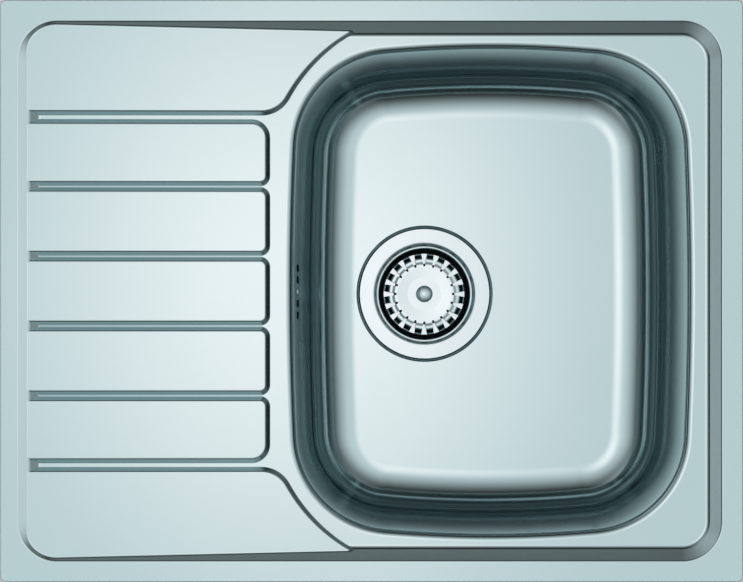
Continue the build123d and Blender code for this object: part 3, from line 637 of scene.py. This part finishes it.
    def panel_lines(self):
        """Open lines over the panels' top edges, down their sides and, near the bowl, at their feet"""
        drainer = self.drainer
        edge = drainer.panel_edge_radius * math.tan(drainer.panel_side_angle / 2)
        height = self.panel_top(self.panel_end) - self.deck
        foot = height / self.side_slope
        offsets = sorted(over_bend(edge) + [-foot / 2])
        outlines = [self.panel_outline(panel) for panel in self.panels]
        sweep = self.sweep_outline()
        outlines += [sweep, mirrored(sweep)]
        lines = [inset(line, distance) for line in outlines for distance in offsets]
        lower = drainer.channel_radius * math.tan(drainer.panel_side_angle / 2)
        feet = [-foot + offset for offset in over_bend(lower)]
        near_bowl = self.panel_end - 2 * drainer.panel_corner
        ends = [[entry for entry in line if entry[0].x > near_bowl] for line in outlines]
        return lines + [inset(line, distance) for line in ends for distance in feet]

    def channel_lines(self):
        """Open lines along the feet of the panels' sides, in the channels' floors"""
        drainer = self.drainer
        lower = drainer.channel_radius * math.tan(drainer.panel_side_angle / 2)
        along = self.along_drainer(self.CHANNEL_FINE_RUN, self.fall_start)
        feet = [(x, (self.panel_top(x) - self.channel_floor(x)) / self.side_slope) for x in along]
        edges = [(panel[1], 1) for panel in self.panels] + [(panel[0], -1) for panel in self.panels]
        edges += [(self.end_low, -1), (-self.end_low, 1)]
        return [
            [Vector((x, edge + way * (foot + offset))) for x, foot in feet]
            for edge, way in edges for offset in over_bend(lower, past=5)
        ]

    def bowl_lines(self):
        """Closed lines down the bowl: the rolled edge, the wall and the bend to the floor"""
        roll = self.sizes.bowl_roll_radius
        roll_turns = [self.bowl_turn * index / self.ROLL_STEPS for index in range(self.ROLL_STEPS + 1)]
        offsets = [self.roll_start + roll * math.sin(turn) for turn in roll_turns]
        clear = self.drainer.slot_height / 2 + self.SLOT_MARGIN
        middle = self.drainer.overflow_drop
        offsets += [drop / self.bowl_slope for drop in (middle - clear, middle + clear, 2 * clear + middle)]
        support = 0.5 * MM
        lines = [inset(self.mouth_line, distance) for distance in [self.roll_start - support] + offsets]
        floor_turns = [self.bowl_turn * index / self.FLOOR_STEPS for index in range(self.FLOOR_STEPS + 1)]
        rows = []
        for point, outward in self.mouth_line:
            radius, start, end = self.floor_bend(math.atan2(abs(outward.y), abs(outward.x)))
            across = [-support] + [radius * math.sin(turn) for turn in floor_turns]
            rows.append([point - outward * (end - distance) for distance in across])
        return lines + [list(line) for line in zip(*rows)]

    def drain_lines(self):
        """Closed lines round the drain's recess and hole"""
        drainer = self.drainer
        foot = drainer.recess_radius - drainer.recess_run
        bend = drainer.recess_bend
        across = over_bend(bend, past=4)
        radii = [drainer.drain_hole_radius, foot - 2 * bend, drainer.recess_radius + 2 * bend]
        radii += [foot + offset for offset in across[:-1]]
        radii += [drainer.recess_radius + offset for offset in across[1:]]
        turns = arc_steps(0, 2 * math.pi, self.TURN_STEP)
        return [[on_arc(DRAIN, radius, turn)[0] for turn in turns] for radius in sorted(radii)]

    def slot_lines(self):
        """Closed outlines of the overflow slots, on the plan of the bowl's drainer-side wall"""
        drainer, half = self.drainer, self.slot_half
        lines = []
        for place in self.SLOT_PLACES:
            line = []
            for turn in arc_steps(0, 2 * math.pi, self.TIGHT_TURN_STEP):
                y = place * drainer.slot_pitch + half * math.cos(turn)
                lift = math.copysign(self.slot_straight, math.sin(turn)) + half * math.sin(turn)
                inside = (drainer.overflow_drop - lift) / self.bowl_slope
                across = math.sqrt((self.end_radius - inside) ** 2 - y * y)
                line.append(Vector((self.bowl_x - self.end_centre.x - across, y)))
            lines.append(line)
        return lines

    def in_opening(self, point):
        """True in the drain's hole or an overflow slot"""
        drainer = self.drainer
        if (point - DRAIN).length < drainer.drain_hole_radius:
            return True
        lift = drainer.overflow_drop - self.bowl_slope * self.inside_mouth(point.x, point.y)
        beyond = abs(lift) > self.slot_straight + self.slot_half
        if beyond or point.x > self.mouth_left + self.SLOT_REACH:
            return False
        past = max(abs(lift) - self.slot_straight, 0)
        sides = [abs(point.y - place * drainer.slot_pitch) for place in self.SLOT_PLACES]
        return math.hypot(min(sides), past) < self.slot_half

    def net(self):
        """Points and triangles of the plan, cut along every line that the sheet bends along"""
        points, edges = [], []
        closed = self.rim_lines() + self.crest_lines() + self.bowl_lines()
        closed += self.drain_lines() + self.slot_lines()
        opened = self.foot_lines() + self.panel_foot_lines() + self.panel_lines() + self.channel_lines()
        for lines, is_closed in ((closed, True), (opened, False)):
            for line in lines:
                start = len(points)
                points += line
                edges += [(start + i, start + i + 1) for i in range(len(line) - 1)]
                if is_closed:
                    edges.append((len(points) - 1, start))
        spacing = self.GRID_STEP
        for x in spaced(-self.half_length + spacing, self.half_length - spacing, spacing):
            for y in spaced(-self.half_width + spacing, self.half_width - spacing, spacing):
                points.append(Vector((x, y)))
        result = delaunay_2d_cdt(points, edges, [], 0, self.MERGE_REACH, False)
        return result[0], result[2]


def put_in_order(items, place):
    """Orders points or faces by their place, because thickening the sheet leaves no fixed order"""
    for index, item in enumerate(sorted(items, key=place)):
        item.index = index
    items.sort()


def shade_by_form(mesh):
    """Shades a pressed mesh by the directions that its points carry, and its cut edges flat"""
    ways = [Vector(entry.vector) for entry in mesh.attributes[SHEET_WAY].data]
    normals = []
    for face in mesh.polygons:
        for index in face.vertices:
            lean = face.normal.dot(ways[index])
            curved = abs(lean) > CUT_EDGE_LEAN
            normals.append(ways[index] * math.copysign(1, lean) if curved else face.normal.copy())
    mesh.attributes.remove(mesh.attributes[SHEET_WAY])
    mesh.shade_smooth()
    mesh.normals_split_custom_set(normals)


def finish_piece(name, mesh, body, material, node):
    """Puts a finished mesh in the scene, on its body and in the place of its node"""
    piece = bpy.data.objects.new(name, mesh)
    bpy.context.scene.collection.objects.link(piece)
    mesh.materials.append(material)
    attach(piece, body)
    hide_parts(node)


def dress(material, *nodes):
    """Gives CAD nodes that keep their own shape a finished material"""
    for node in nodes:
        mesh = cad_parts[node].data
        mesh.materials.clear()
        mesh.materials.append(material)


def add_node(tree, kind, inputs=None, **settings):
    """Adds a node with its settings; an input is a value or the socket that feeds it"""
    node = tree.nodes.new(kind)
    for key, value in settings.items():
        setattr(node, key, value)
    for key, value in (inputs or {}).items():
        if isinstance(value, bpy.types.NodeSocket):
            tree.links.new(value, node.inputs[key])
        else:
            node.inputs[key].default_value = value
    return node


def new_material(name):
    """An empty node material with the socket of its Object coordinates"""
    material = bpy.data.materials.new(name)
    material.use_nodes = True
    tree = material.node_tree
    tree.nodes.clear()
    place = add_node(tree, "ShaderNodeTexCoord").outputs["Object"]
    return material, tree, place


def rgba(colour, level):
    """A colour property as a socket value, brighter or darker by level"""
    return (colour[0] * level, colour[1] * level, colour[2] * level, 1)


def close_material(
    tree, colour, clouds, levels, grain, roughness, span=NOISE_SPAN, metallic=1.0, relief=None
):
    """Joins patterns to a shader: clouds tint the colour, the grain sets roughness, relief dents it"""
    shade = add_node(tree, "ShaderNodeMix", {
        "Factor": clouds, "A": rgba(colour, levels[0]), "B": rgba(colour, levels[1]),
    }, data_type="RGBA")
    rough = add_node(tree, "ShaderNodeMapRange", {
        "Value": grain, "From Min": span[0], "From Max": span[1],
        "To Min": roughness[0], "To Max": roughness[1],
    })
    inputs = {"Base Color": shade.outputs[2], "Metallic": metallic, "Roughness": rough.outputs["Result"]}
    if relief:
        pattern, strength, depth = relief
        dents = add_node(tree, "ShaderNodeBump", {
            "Height": pattern, "Strength": strength, "Distance": depth,
        })
        inputs["Normal"] = dents.outputs["Normal"]
    surface = add_node(tree, "ShaderNodeBsdfPrincipled", inputs)
    add_node(tree, "ShaderNodeOutputMaterial", {"Surface": surface.outputs["BSDF"]})


def satin_stainless(colours):
    """Stainless sheet polished along its length: soft reflections, faintly streaked"""
    material, tree, place = new_material("Stainless steel, satin polished")
    # The real polish lines are near 0.1 mm apart; they are drawn 0.8 mm apart so that they show.
    line_spacing = 0.8 * MM
    line_length = 90 * MM
    line_depth = 0.02 * MM
    cloud_size = 120 * MM
    stretched = add_node(tree, "ShaderNodeMapping", {
        "Vector": place, "Scale": (1 / line_length, 1 / line_spacing, 1 / line_spacing),
    })
    noise = add_node(tree, "ShaderNodeTexNoise", {
        "Vector": stretched.outputs["Vector"], "Scale": 1.0, "Detail": 2.0,
    })
    lines = noise.outputs["Fac"]
    clouds = add_node(tree, "ShaderNodeTexNoise", {"Vector": place, "Scale": 1 / cloud_size, "Detail": 3.0})
    close_material(
        tree, colours.steel, clouds.outputs["Fac"], (0.985, 1.015), lines, (0.11, 0.15),
        relief=(lines, 0.04, line_depth),
    )
    return material


def spun_stainless(colours):
    """Pressed and spun stainless steel: bright, with faint rings about the drain's axis"""
    material, tree, place = new_material("Stainless steel, spun and polished")
    # Spinning marks are finer than this; they are drawn 1.8 mm apart so that they show.
    ring_spacing = 1.8 * MM
    ring_depth = 0.02 * MM
    film_size = 14 * MM
    centred = add_node(tree, "ShaderNodeMapping", {"Vector": place, "Location": (-DRAIN.x, -DRAIN.y, 0)})
    rings = add_node(tree, "ShaderNodeTexWave", {
        "Vector": centred.outputs["Vector"], "Scale": 2 * math.pi / (WAVE_RATE * ring_spacing),
        "Distortion": 0.6, "Detail": 2.0,
    }, wave_type="RINGS", rings_direction="Z")
    noise = add_node(tree, "ShaderNodeTexNoise", {"Vector": place, "Scale": 1 / film_size, "Detail": 4.0})
    film = noise.outputs["Fac"]
    close_material(
        tree, colours.bright_steel, film, (0.96, 1.02), film, (0.10, 0.17),
        relief=(rings.outputs["Fac"], 0.05, ring_depth),
    )
    return material


def turned_steel(colours):
    """Turned and polished steel: nearly a mirror, with a breath of fine marks"""
    material, tree, place = new_material("Stainless steel, turned and polished")
    mark_size = 3 * MM
    noise = add_node(tree, "ShaderNodeTexNoise", {"Vector": place, "Scale": 1 / mark_size, "Detail": 5.0})
    marks = noise.outputs["Fac"]
    close_material(tree, colours.bright_steel, marks, (0.97, 1.03), marks, (0.06, 0.12))
    return material


def grained_metal(name, colour, grain, roughness):
    """Plated, pressed or turned metal: cloudy, with small dull grains"""
    material, tree, place = new_material(name)
    cloud_size = 9 * grain
    grains = add_node(tree, "ShaderNodeTexVoronoi", {"Vector": place, "Scale": 1 / grain})
    clouds = add_node(tree, "ShaderNodeTexNoise", {"Vector": place, "Scale": 1 / cloud_size, "Detail": 4.0})
    close_material(
        tree, colour, clouds.outputs["Fac"], (0.88, 1.06),
        grains.outputs["Distance"], (roughness - 0.06, roughness + 0.08), span=(0.0, 0.8),
    )
    return material


def moulded(name, colour, grain, relief_depth, roughness, spread):
    """A moulded or foamed surface: a fine grain in its relief and a slight unevenness of colour"""
    material, tree, place = new_material(name)
    cloud_size = 25 * MM
    noise = add_node(tree, "ShaderNodeTexNoise", {"Vector": place, "Scale": 1 / grain, "Detail": 3.0})
    pores = noise.outputs["Fac"]
    clouds = add_node(tree, "ShaderNodeTexNoise", {"Vector": place, "Scale": 1 / cloud_size, "Detail": 3.0})
    close_material(
        tree, colour, clouds.outputs["Fac"], (1 - spread, 1 + spread),
        pores, (roughness - 0.05, roughness + 0.05), metallic=0.0, relief=(pores, 0.5, relief_depth),
    )
    return material


class SINK_OT_press_sheet(bpy.types.Operator):
    """Presses the steel sheet: rim, drainer, bowl, drain recess and overflow slots"""

    bl_idname = "sink.press_sheet"
    bl_label = "Press Sheet"

    def execute(self, context):
        scene = context.scene
        pressing = Pressing(scene.sink_sheet, scene.sink_drainer)
        points, triangles = pressing.net()
        net = bmesh.new()
        way = net.verts.layers.float_vector.new(SHEET_WAY)
        verts = []
        for point in points:
            vert = net.verts.new((point.x, point.y, pressing.height(point.x, point.y)))
            vert[way] = pressing.normal(point.x, point.y)
            verts.append(vert)
        for corners in triangles:
            middle = sum((points[i] for i in corners), Vector((0, 0))) / len(corners)
            if not pressing.in_opening(middle):
                net.faces.new([verts[i] for i in corners])
        loose = [vert for vert in net.verts if not vert.link_faces]
        bmesh.ops.delete(net, geom=loose, context="VERTS")
        under_edge = pressing.rim - scene.sink_sheet.rim_edge_radius - MM
        outer = [e for e in net.edges if e.is_boundary and min(v.co.z for v in e.verts) > under_edge]
        lip = bmesh.ops.extrude_edge_only(net, edges=outer)["geom"]
        for vert in (item for item in lip if isinstance(item, bmesh.types.BMVert)):
            vert.co.z = WORKTOP_HEIGHT
        bmesh.ops.recalc_face_normals(net, faces=net.faces)
        bmesh.ops.solidify(net, geom=net.faces, thickness=scene.sink_sheet.sheet)
        put_in_order(net.verts, lambda vert: vert.co[:])
        put_in_order(net.faces, lambda face: face.calc_center_median()[:])
        mesh = bpy.data.meshes.new("pressed_sheet")
        net.to_mesh(mesh)
        net.free()
        shade_by_form(mesh)
        material = satin_stainless(scene.sink_colours)
        finish_piece("pressed_sheet", mesh, "sink", material, "sink_body")
        return {"FINISHED"}


class SINK_OT_finish_strainer(bpy.types.Operator):
    """Finishes the strainer's cup, the basket and their bright screws"""

    bl_idname = "sink.finish_strainer"
    bl_label = "Finish Strainer"

    def execute(self, context):
        colours = context.scene.sink_colours
        dress(spun_stainless(colours), "strainer_cup", "basket_crown", "basket_plate")
        dress(turned_steel(colours), "basket_knob", "basket_stem", "waste_screw", "overflow_screw")
        return {"FINISHED"}


class SINK_OT_finish_seals(bpy.types.Operator):
    """Finishes the rubber gaskets and rings, the foam under the rim and the damping pad"""

    bl_idname = "sink.finish_seals"
    bl_label = "Finish Seals"

    def execute(self, context):
        colours = context.scene.sink_colours
        # Moulded rubber is dull and nearly even, with a dusty bloom.
        rubber = moulded("Nitrile rubber, moulded", colours.rubber, 0.6 * MM, 0.03 * MM, 0.6, 0.25)
        # Closed-cell foam shows its cut cells as small pits.
        foam = moulded("EPDM foam, closed cell", colours.foam, 0.9 * MM, 0.2 * MM, 0.85, 0.12)
        # The damping sheet is rolled with coarse mineral grit.
        bitumen = moulded("Bitumen sheet, rolled", colours.bitumen, 1.6 * MM, 0.25 * MM, 0.8, 0.18)
        dress(rubber, "flange_gasket", "lower_gasket", "basket_seal", "stem_ring")
        dress(rubber, "overflow_gasket", "coupling_seals")
        dress(foam, "rim_seal")
        dress(bitumen, "sound_pad")
        return {"FINISHED"}


class SINK_OT_finish_clamps(bpy.types.Operator):
    """Finishes the anchors, screws and jaws that hold the sink in its worktop"""

    bl_idname = "sink.finish_clamps"
    bl_label = "Finish Clamps"

    def execute(self, context):
        colours = context.scene.sink_colours
        # Plain pressed strip keeps the mill's dull roll marks.
        strip = grained_metal("Stainless steel, pressed strip", colours.steel, 1.2 * MM, 0.32)
        # Bright zinc is bluish and clouded, with fine grains.
        zinc = grained_metal("Steel, zinc plated", colours.zinc, 0.8 * MM, 0.28)
        dress(strip, "clamp_anchors")
        dress(zinc, "clamp_screws", *CLAMP_JAWS)
        return {"FINISHED"}


class SINK_OT_finish_waste(bpy.types.Operator):
    """Finishes the waste body, the overflow's housing and pipe, their nuts and brass inserts"""

    bl_idname = "sink.finish_waste"
    bl_label = "Finish Waste"

    def execute(self, context):
        colours = context.scene.sink_colours
        # The mould's spark texture leaves a fine matt grain.
        waste = moulded("Polypropylene, spark textured", colours.waste, 0.7 * MM, 0.04 * MM, 0.46, 0.03)
        # A drawn pipe is smoother and a little glossier.
        pipe = moulded("Polypropylene, extruded", colours.pipe, 1.5 * MM, 0.01 * MM, 0.36, 0.03)
        # The nuts come from a coarser mould, in dark grey.
        nut = moulded("Polypropylene, grey moulded", colours.nut, 0.8 * MM, 0.05 * MM, 0.5, 0.06)
        dress(waste, "waste_body", "overflow_housing")
        dress(pipe, "overflow_pipe")
        dress(nut, "coupling_nuts")
        # Turned brass has a warm, slightly brushed gloss.
        brass = grained_metal("Brass, turned", colours.brass, 0.5 * MM, 0.24)
        dress(brass, "waste_insert", "overflow_insert")
        return {"FINISHED"}


class SINK_OT_set_stage(bpy.types.Operator):
    """Sets the floor, the soft light and the camera that looks straight down"""

    bl_idname = "sink.set_stage"
    bl_label = "Set Stage"

    # Places and sizes are in metres from the frame's origin.
    FLOOR_REACH = 20.0
    CAMERA_HEIGHT = 3.3
    CAMERA_X = -0.025
    CAMERA_Y = -0.05
    SENSOR = 36.0
    LAMP_PLACE = (-0.045, 0.035, 1.15)
    LAMP_SIZE = (0.84, 1.1)
    LAMP_POWER = 2.65
    LAMP_TINT = "#FFD2CD"
    # The sky's heights, widths and leans are shares of a direction of length 1.
    DOME_LEVEL = 1.45
    DOME_HALF_WIDTH = 1.18
    DOME_REAR_LEAN = 0.03
    DOME_DRAINER_LEAN = 0.1
    DOME_RISE = (0.4, 0.9)
    CORNER_LEVEL = 0.65
    CORNER_LEAN = 0.5
    CORNER_RISE = (0.08, 0.18)
    CORNER_FALL = (0.4, 0.6)
    # The square of X times Y is a quarter in the corners.
    CORNER_PEAK = 4
    HORIZON_LEVEL = 0.95
    HORIZON_HEIGHT = 0.075
    HORIZON_BAND = (0.03, 0.07)
    HORIZON_ENDS = (-1.0, 0.5)
    SKY_LEVEL = 0.05

    def execute(self, context):
        scene = context.scene
        self.lay_floor(scene)
        self.light_dome(scene)
        self.hang_lamp(scene)
        self.place_camera(scene)
        scene.view_settings.view_transform = "Standard"
        return {"FINISHED"}

    def lay_floor(self, scene):
        """A wide pale floor just under the outlet"""
        net = bmesh.new()
        bmesh.ops.create_grid(net, x_segments=1, y_segments=1, size=self.FLOOR_REACH)
        bmesh.ops.translate(net, verts=net.verts, vec=(0, 0, packed_bounds[0].z))
        mesh = bpy.data.meshes.new("floor")
        net.to_mesh(mesh)
        net.free()
        # Painted board, matt and even, that only catches the shadow.
        mesh.materials.append(
            moulded("Board, matt painted", scene.sink_colours.floor, 2 * MM, 0.01 * MM, 0.9, 0.01)
        )
        floor = bpy.data.objects.new("floor", mesh)
        scene.collection.objects.link(floor)

    def light_dome(self, scene):
        """A broad overhead softbox, four low lights in the corners and a glow at the drainer's horizon"""
        world = bpy.data.worlds.new("Softbox dome")
        scene.world = world
        world.use_nodes = True
        tree = world.node_tree
        tree.nodes.clear()
        way = add_node(tree, "ShaderNodeTexCoord").outputs["Generated"]
        split = add_node(tree, "ShaderNodeSeparateXYZ", {"Vector": way})
        found = {axis: split.outputs[axis] for axis in ("X", "Y", "Z")}
        # Each step has a name, a sum or a ramp, and the numbers or earlier steps that go into it.
        steps = (
            ("sideways", "SUBTRACT", "Y", self.DOME_REAR_LEAN),
            ("share", "DIVIDE", "sideways", self.DOME_HALF_WIDTH),
            ("bulge", "POWER", "share", 2),
            ("left", "SUBTRACT", 1, "bulge"),
            ("fade", "MAXIMUM", "left", 0),
            ("above", "LINEAR", "Z", *self.DOME_RISE, 0, self.DOME_LEVEL),
            ("lean", "MULTIPLY_ADD", "X", -self.DOME_DRAINER_LEAN, 1),
            ("spread", "MULTIPLY", "fade", "lean"),
            ("dome", "MULTIPLY", "spread", "above"),
            ("height", "SUBTRACT", "Z", self.HORIZON_HEIGHT),
            ("distance", "ABSOLUTE", "height"),
            ("band", "SMOOTHSTEP", "distance", *self.HORIZON_BAND, 1, 0),
            ("end", "LINEAR", "X", *self.HORIZON_ENDS, self.HORIZON_LEVEL, 0),
            ("glow", "MULTIPLY_ADD", "band", "end", self.SKY_LEVEL),
            ("across", "MULTIPLY", "X", "Y"),
            ("square", "POWER", "across", 2),
            ("drainer side", "MULTIPLY_ADD", "X", -self.CORNER_LEAN, 1),
            ("corner", "MULTIPLY", "square", "drainer side"),
            ("rise", "LINEAR", "Z", *self.CORNER_RISE, 0, self.CORNER_PEAK * self.CORNER_LEVEL),
            ("fall", "LINEAR", "Z", *self.CORNER_FALL, 1, 0),
            ("ring", "MULTIPLY", "rise", "fall"),
            ("low light", "MULTIPLY_ADD", "ring", "corner", "glow"),
            ("light", "ADD", "dome", "low light"),
        )
        for name, work, *terms in steps:
            inputs = {place: found.get(term, term) for place, term in enumerate(terms)}
            if work in ("LINEAR", "SMOOTHSTEP"):
                node = add_node(tree, "ShaderNodeMapRange", inputs, interpolation_type=work)
            else:
                node = add_node(tree, "ShaderNodeMath", inputs, operation=work)
            found[name] = node.outputs[0]
        sky = add_node(tree, "ShaderNodeBackground", {"Strength": found["light"]})
        add_node(tree, "ShaderNodeOutputWorld", {"Surface": sky.outputs["Background"]})

    def hang_lamp(self, scene):
        """One near softbox over the drainer's bowl end, bright in its middle and fading to its edges"""
        lamp = bpy.data.lights.new("softbox", "AREA")
        lamp.shape = "RECTANGLE"
        lamp.size, lamp.size_y = self.LAMP_SIZE
        lamp.energy = self.LAMP_POWER
        lamp.color = linear(self.LAMP_TINT)
        lamp.use_nodes = True
        tree = lamp.node_tree
        tree.nodes.clear()
        across = add_node(tree, "ShaderNodeNewGeometry").outputs["Parametric"]
        # The lamp's face runs from 0 to 1 each way; its reach is 0 in the middle and 1 at the edges.
        middle = (0.5, 0.5, 0)
        double = (2, 2, 0)
        centred = add_node(tree, "ShaderNodeVectorMath", {0: across, 1: middle}, operation="SUBTRACT")
        flat = add_node(tree, "ShaderNodeVectorMath", {
            0: centred.outputs["Vector"], 1: double,
        }, operation="MULTIPLY")
        reach = add_node(tree, "ShaderNodeVectorMath", {0: flat.outputs["Vector"]}, operation="LENGTH")
        fade = add_node(tree, "ShaderNodeMapRange", {
            "Value": reach.outputs["Value"], "From Min": 0.0, "From Max": 1.0, "To Min": 1.0, "To Max": 0.0,
        }, interpolation_type="SMOOTHSTEP")
        glow = add_node(tree, "ShaderNodeEmission", {"Strength": fade.outputs["Result"]})
        add_node(tree, "ShaderNodeOutputLight", {"Surface": glow.outputs["Emission"]})
        softbox = bpy.data.objects.new("softbox", lamp)
        softbox.location = self.LAMP_PLACE
        softbox.visible_camera = False
        scene.collection.objects.link(softbox)

    def place_camera(self, scene):
        """Looks straight down, with the sink's outline filling the picture"""
        lens = bpy.data.cameras.new("camera")
        lens.sensor_width = self.SENSOR
        width = 2 * SINK_HIGH.x
        lens.lens = self.SENSOR * self.CAMERA_HEIGHT / width
        lens.shift_x = -self.CAMERA_X / width
        lens.shift_y = -self.CAMERA_Y / width
        camera = bpy.data.objects.new("camera", lens)
        camera.location = (self.CAMERA_X, self.CAMERA_Y, SINK_HIGH.z + self.CAMERA_HEIGHT)
        scene.collection.objects.link(camera)
        scene.camera = camera


OPERATORS = (
    SINK_OT_press_sheet,
    SINK_OT_finish_strainer,
    SINK_OT_finish_seals,
    SINK_OT_finish_clamps,
    SINK_OT_finish_waste,
    SINK_OT_set_stage,
)


class SINK_PT_builder(bpy.types.Panel):
    """Lists the sink's sizes, colours and building steps"""

    bl_idname = "SINK_PT_builder"
    bl_label = "Kitchen Sink"
    bl_space_type = "VIEW_3D"
    bl_region_type = "UI"
    bl_category = "Sink"

    def draw(self, context):
        layout = self.layout
        scene = context.scene
        for group in (scene.sink_sheet, scene.sink_drainer, scene.sink_colours):
            box = layout.box()
            for name in group.__annotations__:
                box.prop(group, name)
        for operator in OPERATORS:
            layout.operator(operator.bl_idname)


CLASSES = (SheetSizes, DrainerSizes, SinkColours, *OPERATORS, SINK_PT_builder)


def register():
    """Registers the classes and hangs the settings on the scene"""
    for item in CLASSES:
        bpy.utils.register_class(item)
    bpy.types.Scene.sink_sheet = bpy.props.PointerProperty(type=SheetSizes)
    bpy.types.Scene.sink_drainer = bpy.props.PointerProperty(type=DrainerSizes)
    bpy.types.Scene.sink_colours = bpy.props.PointerProperty(type=SinkColours)


def unregister():
    """Takes the settings off the scene and unregisters the classes"""
    del bpy.types.Scene.sink_colours
    del bpy.types.Scene.sink_drainer
    del bpy.types.Scene.sink_sheet
    for item in reversed(CLASSES):
        bpy.utils.unregister_class(item)


def main():
    """Registers the classes, then builds every piece and the stage"""
    register()
    bpy.ops.sink.press_sheet()
    bpy.ops.sink.finish_strainer()
    bpy.ops.sink.finish_seals()
    bpy.ops.sink.finish_clamps()
    bpy.ops.sink.finish_waste()
    bpy.ops.sink.set_stage()


if __name__ == "__main__":
    main()
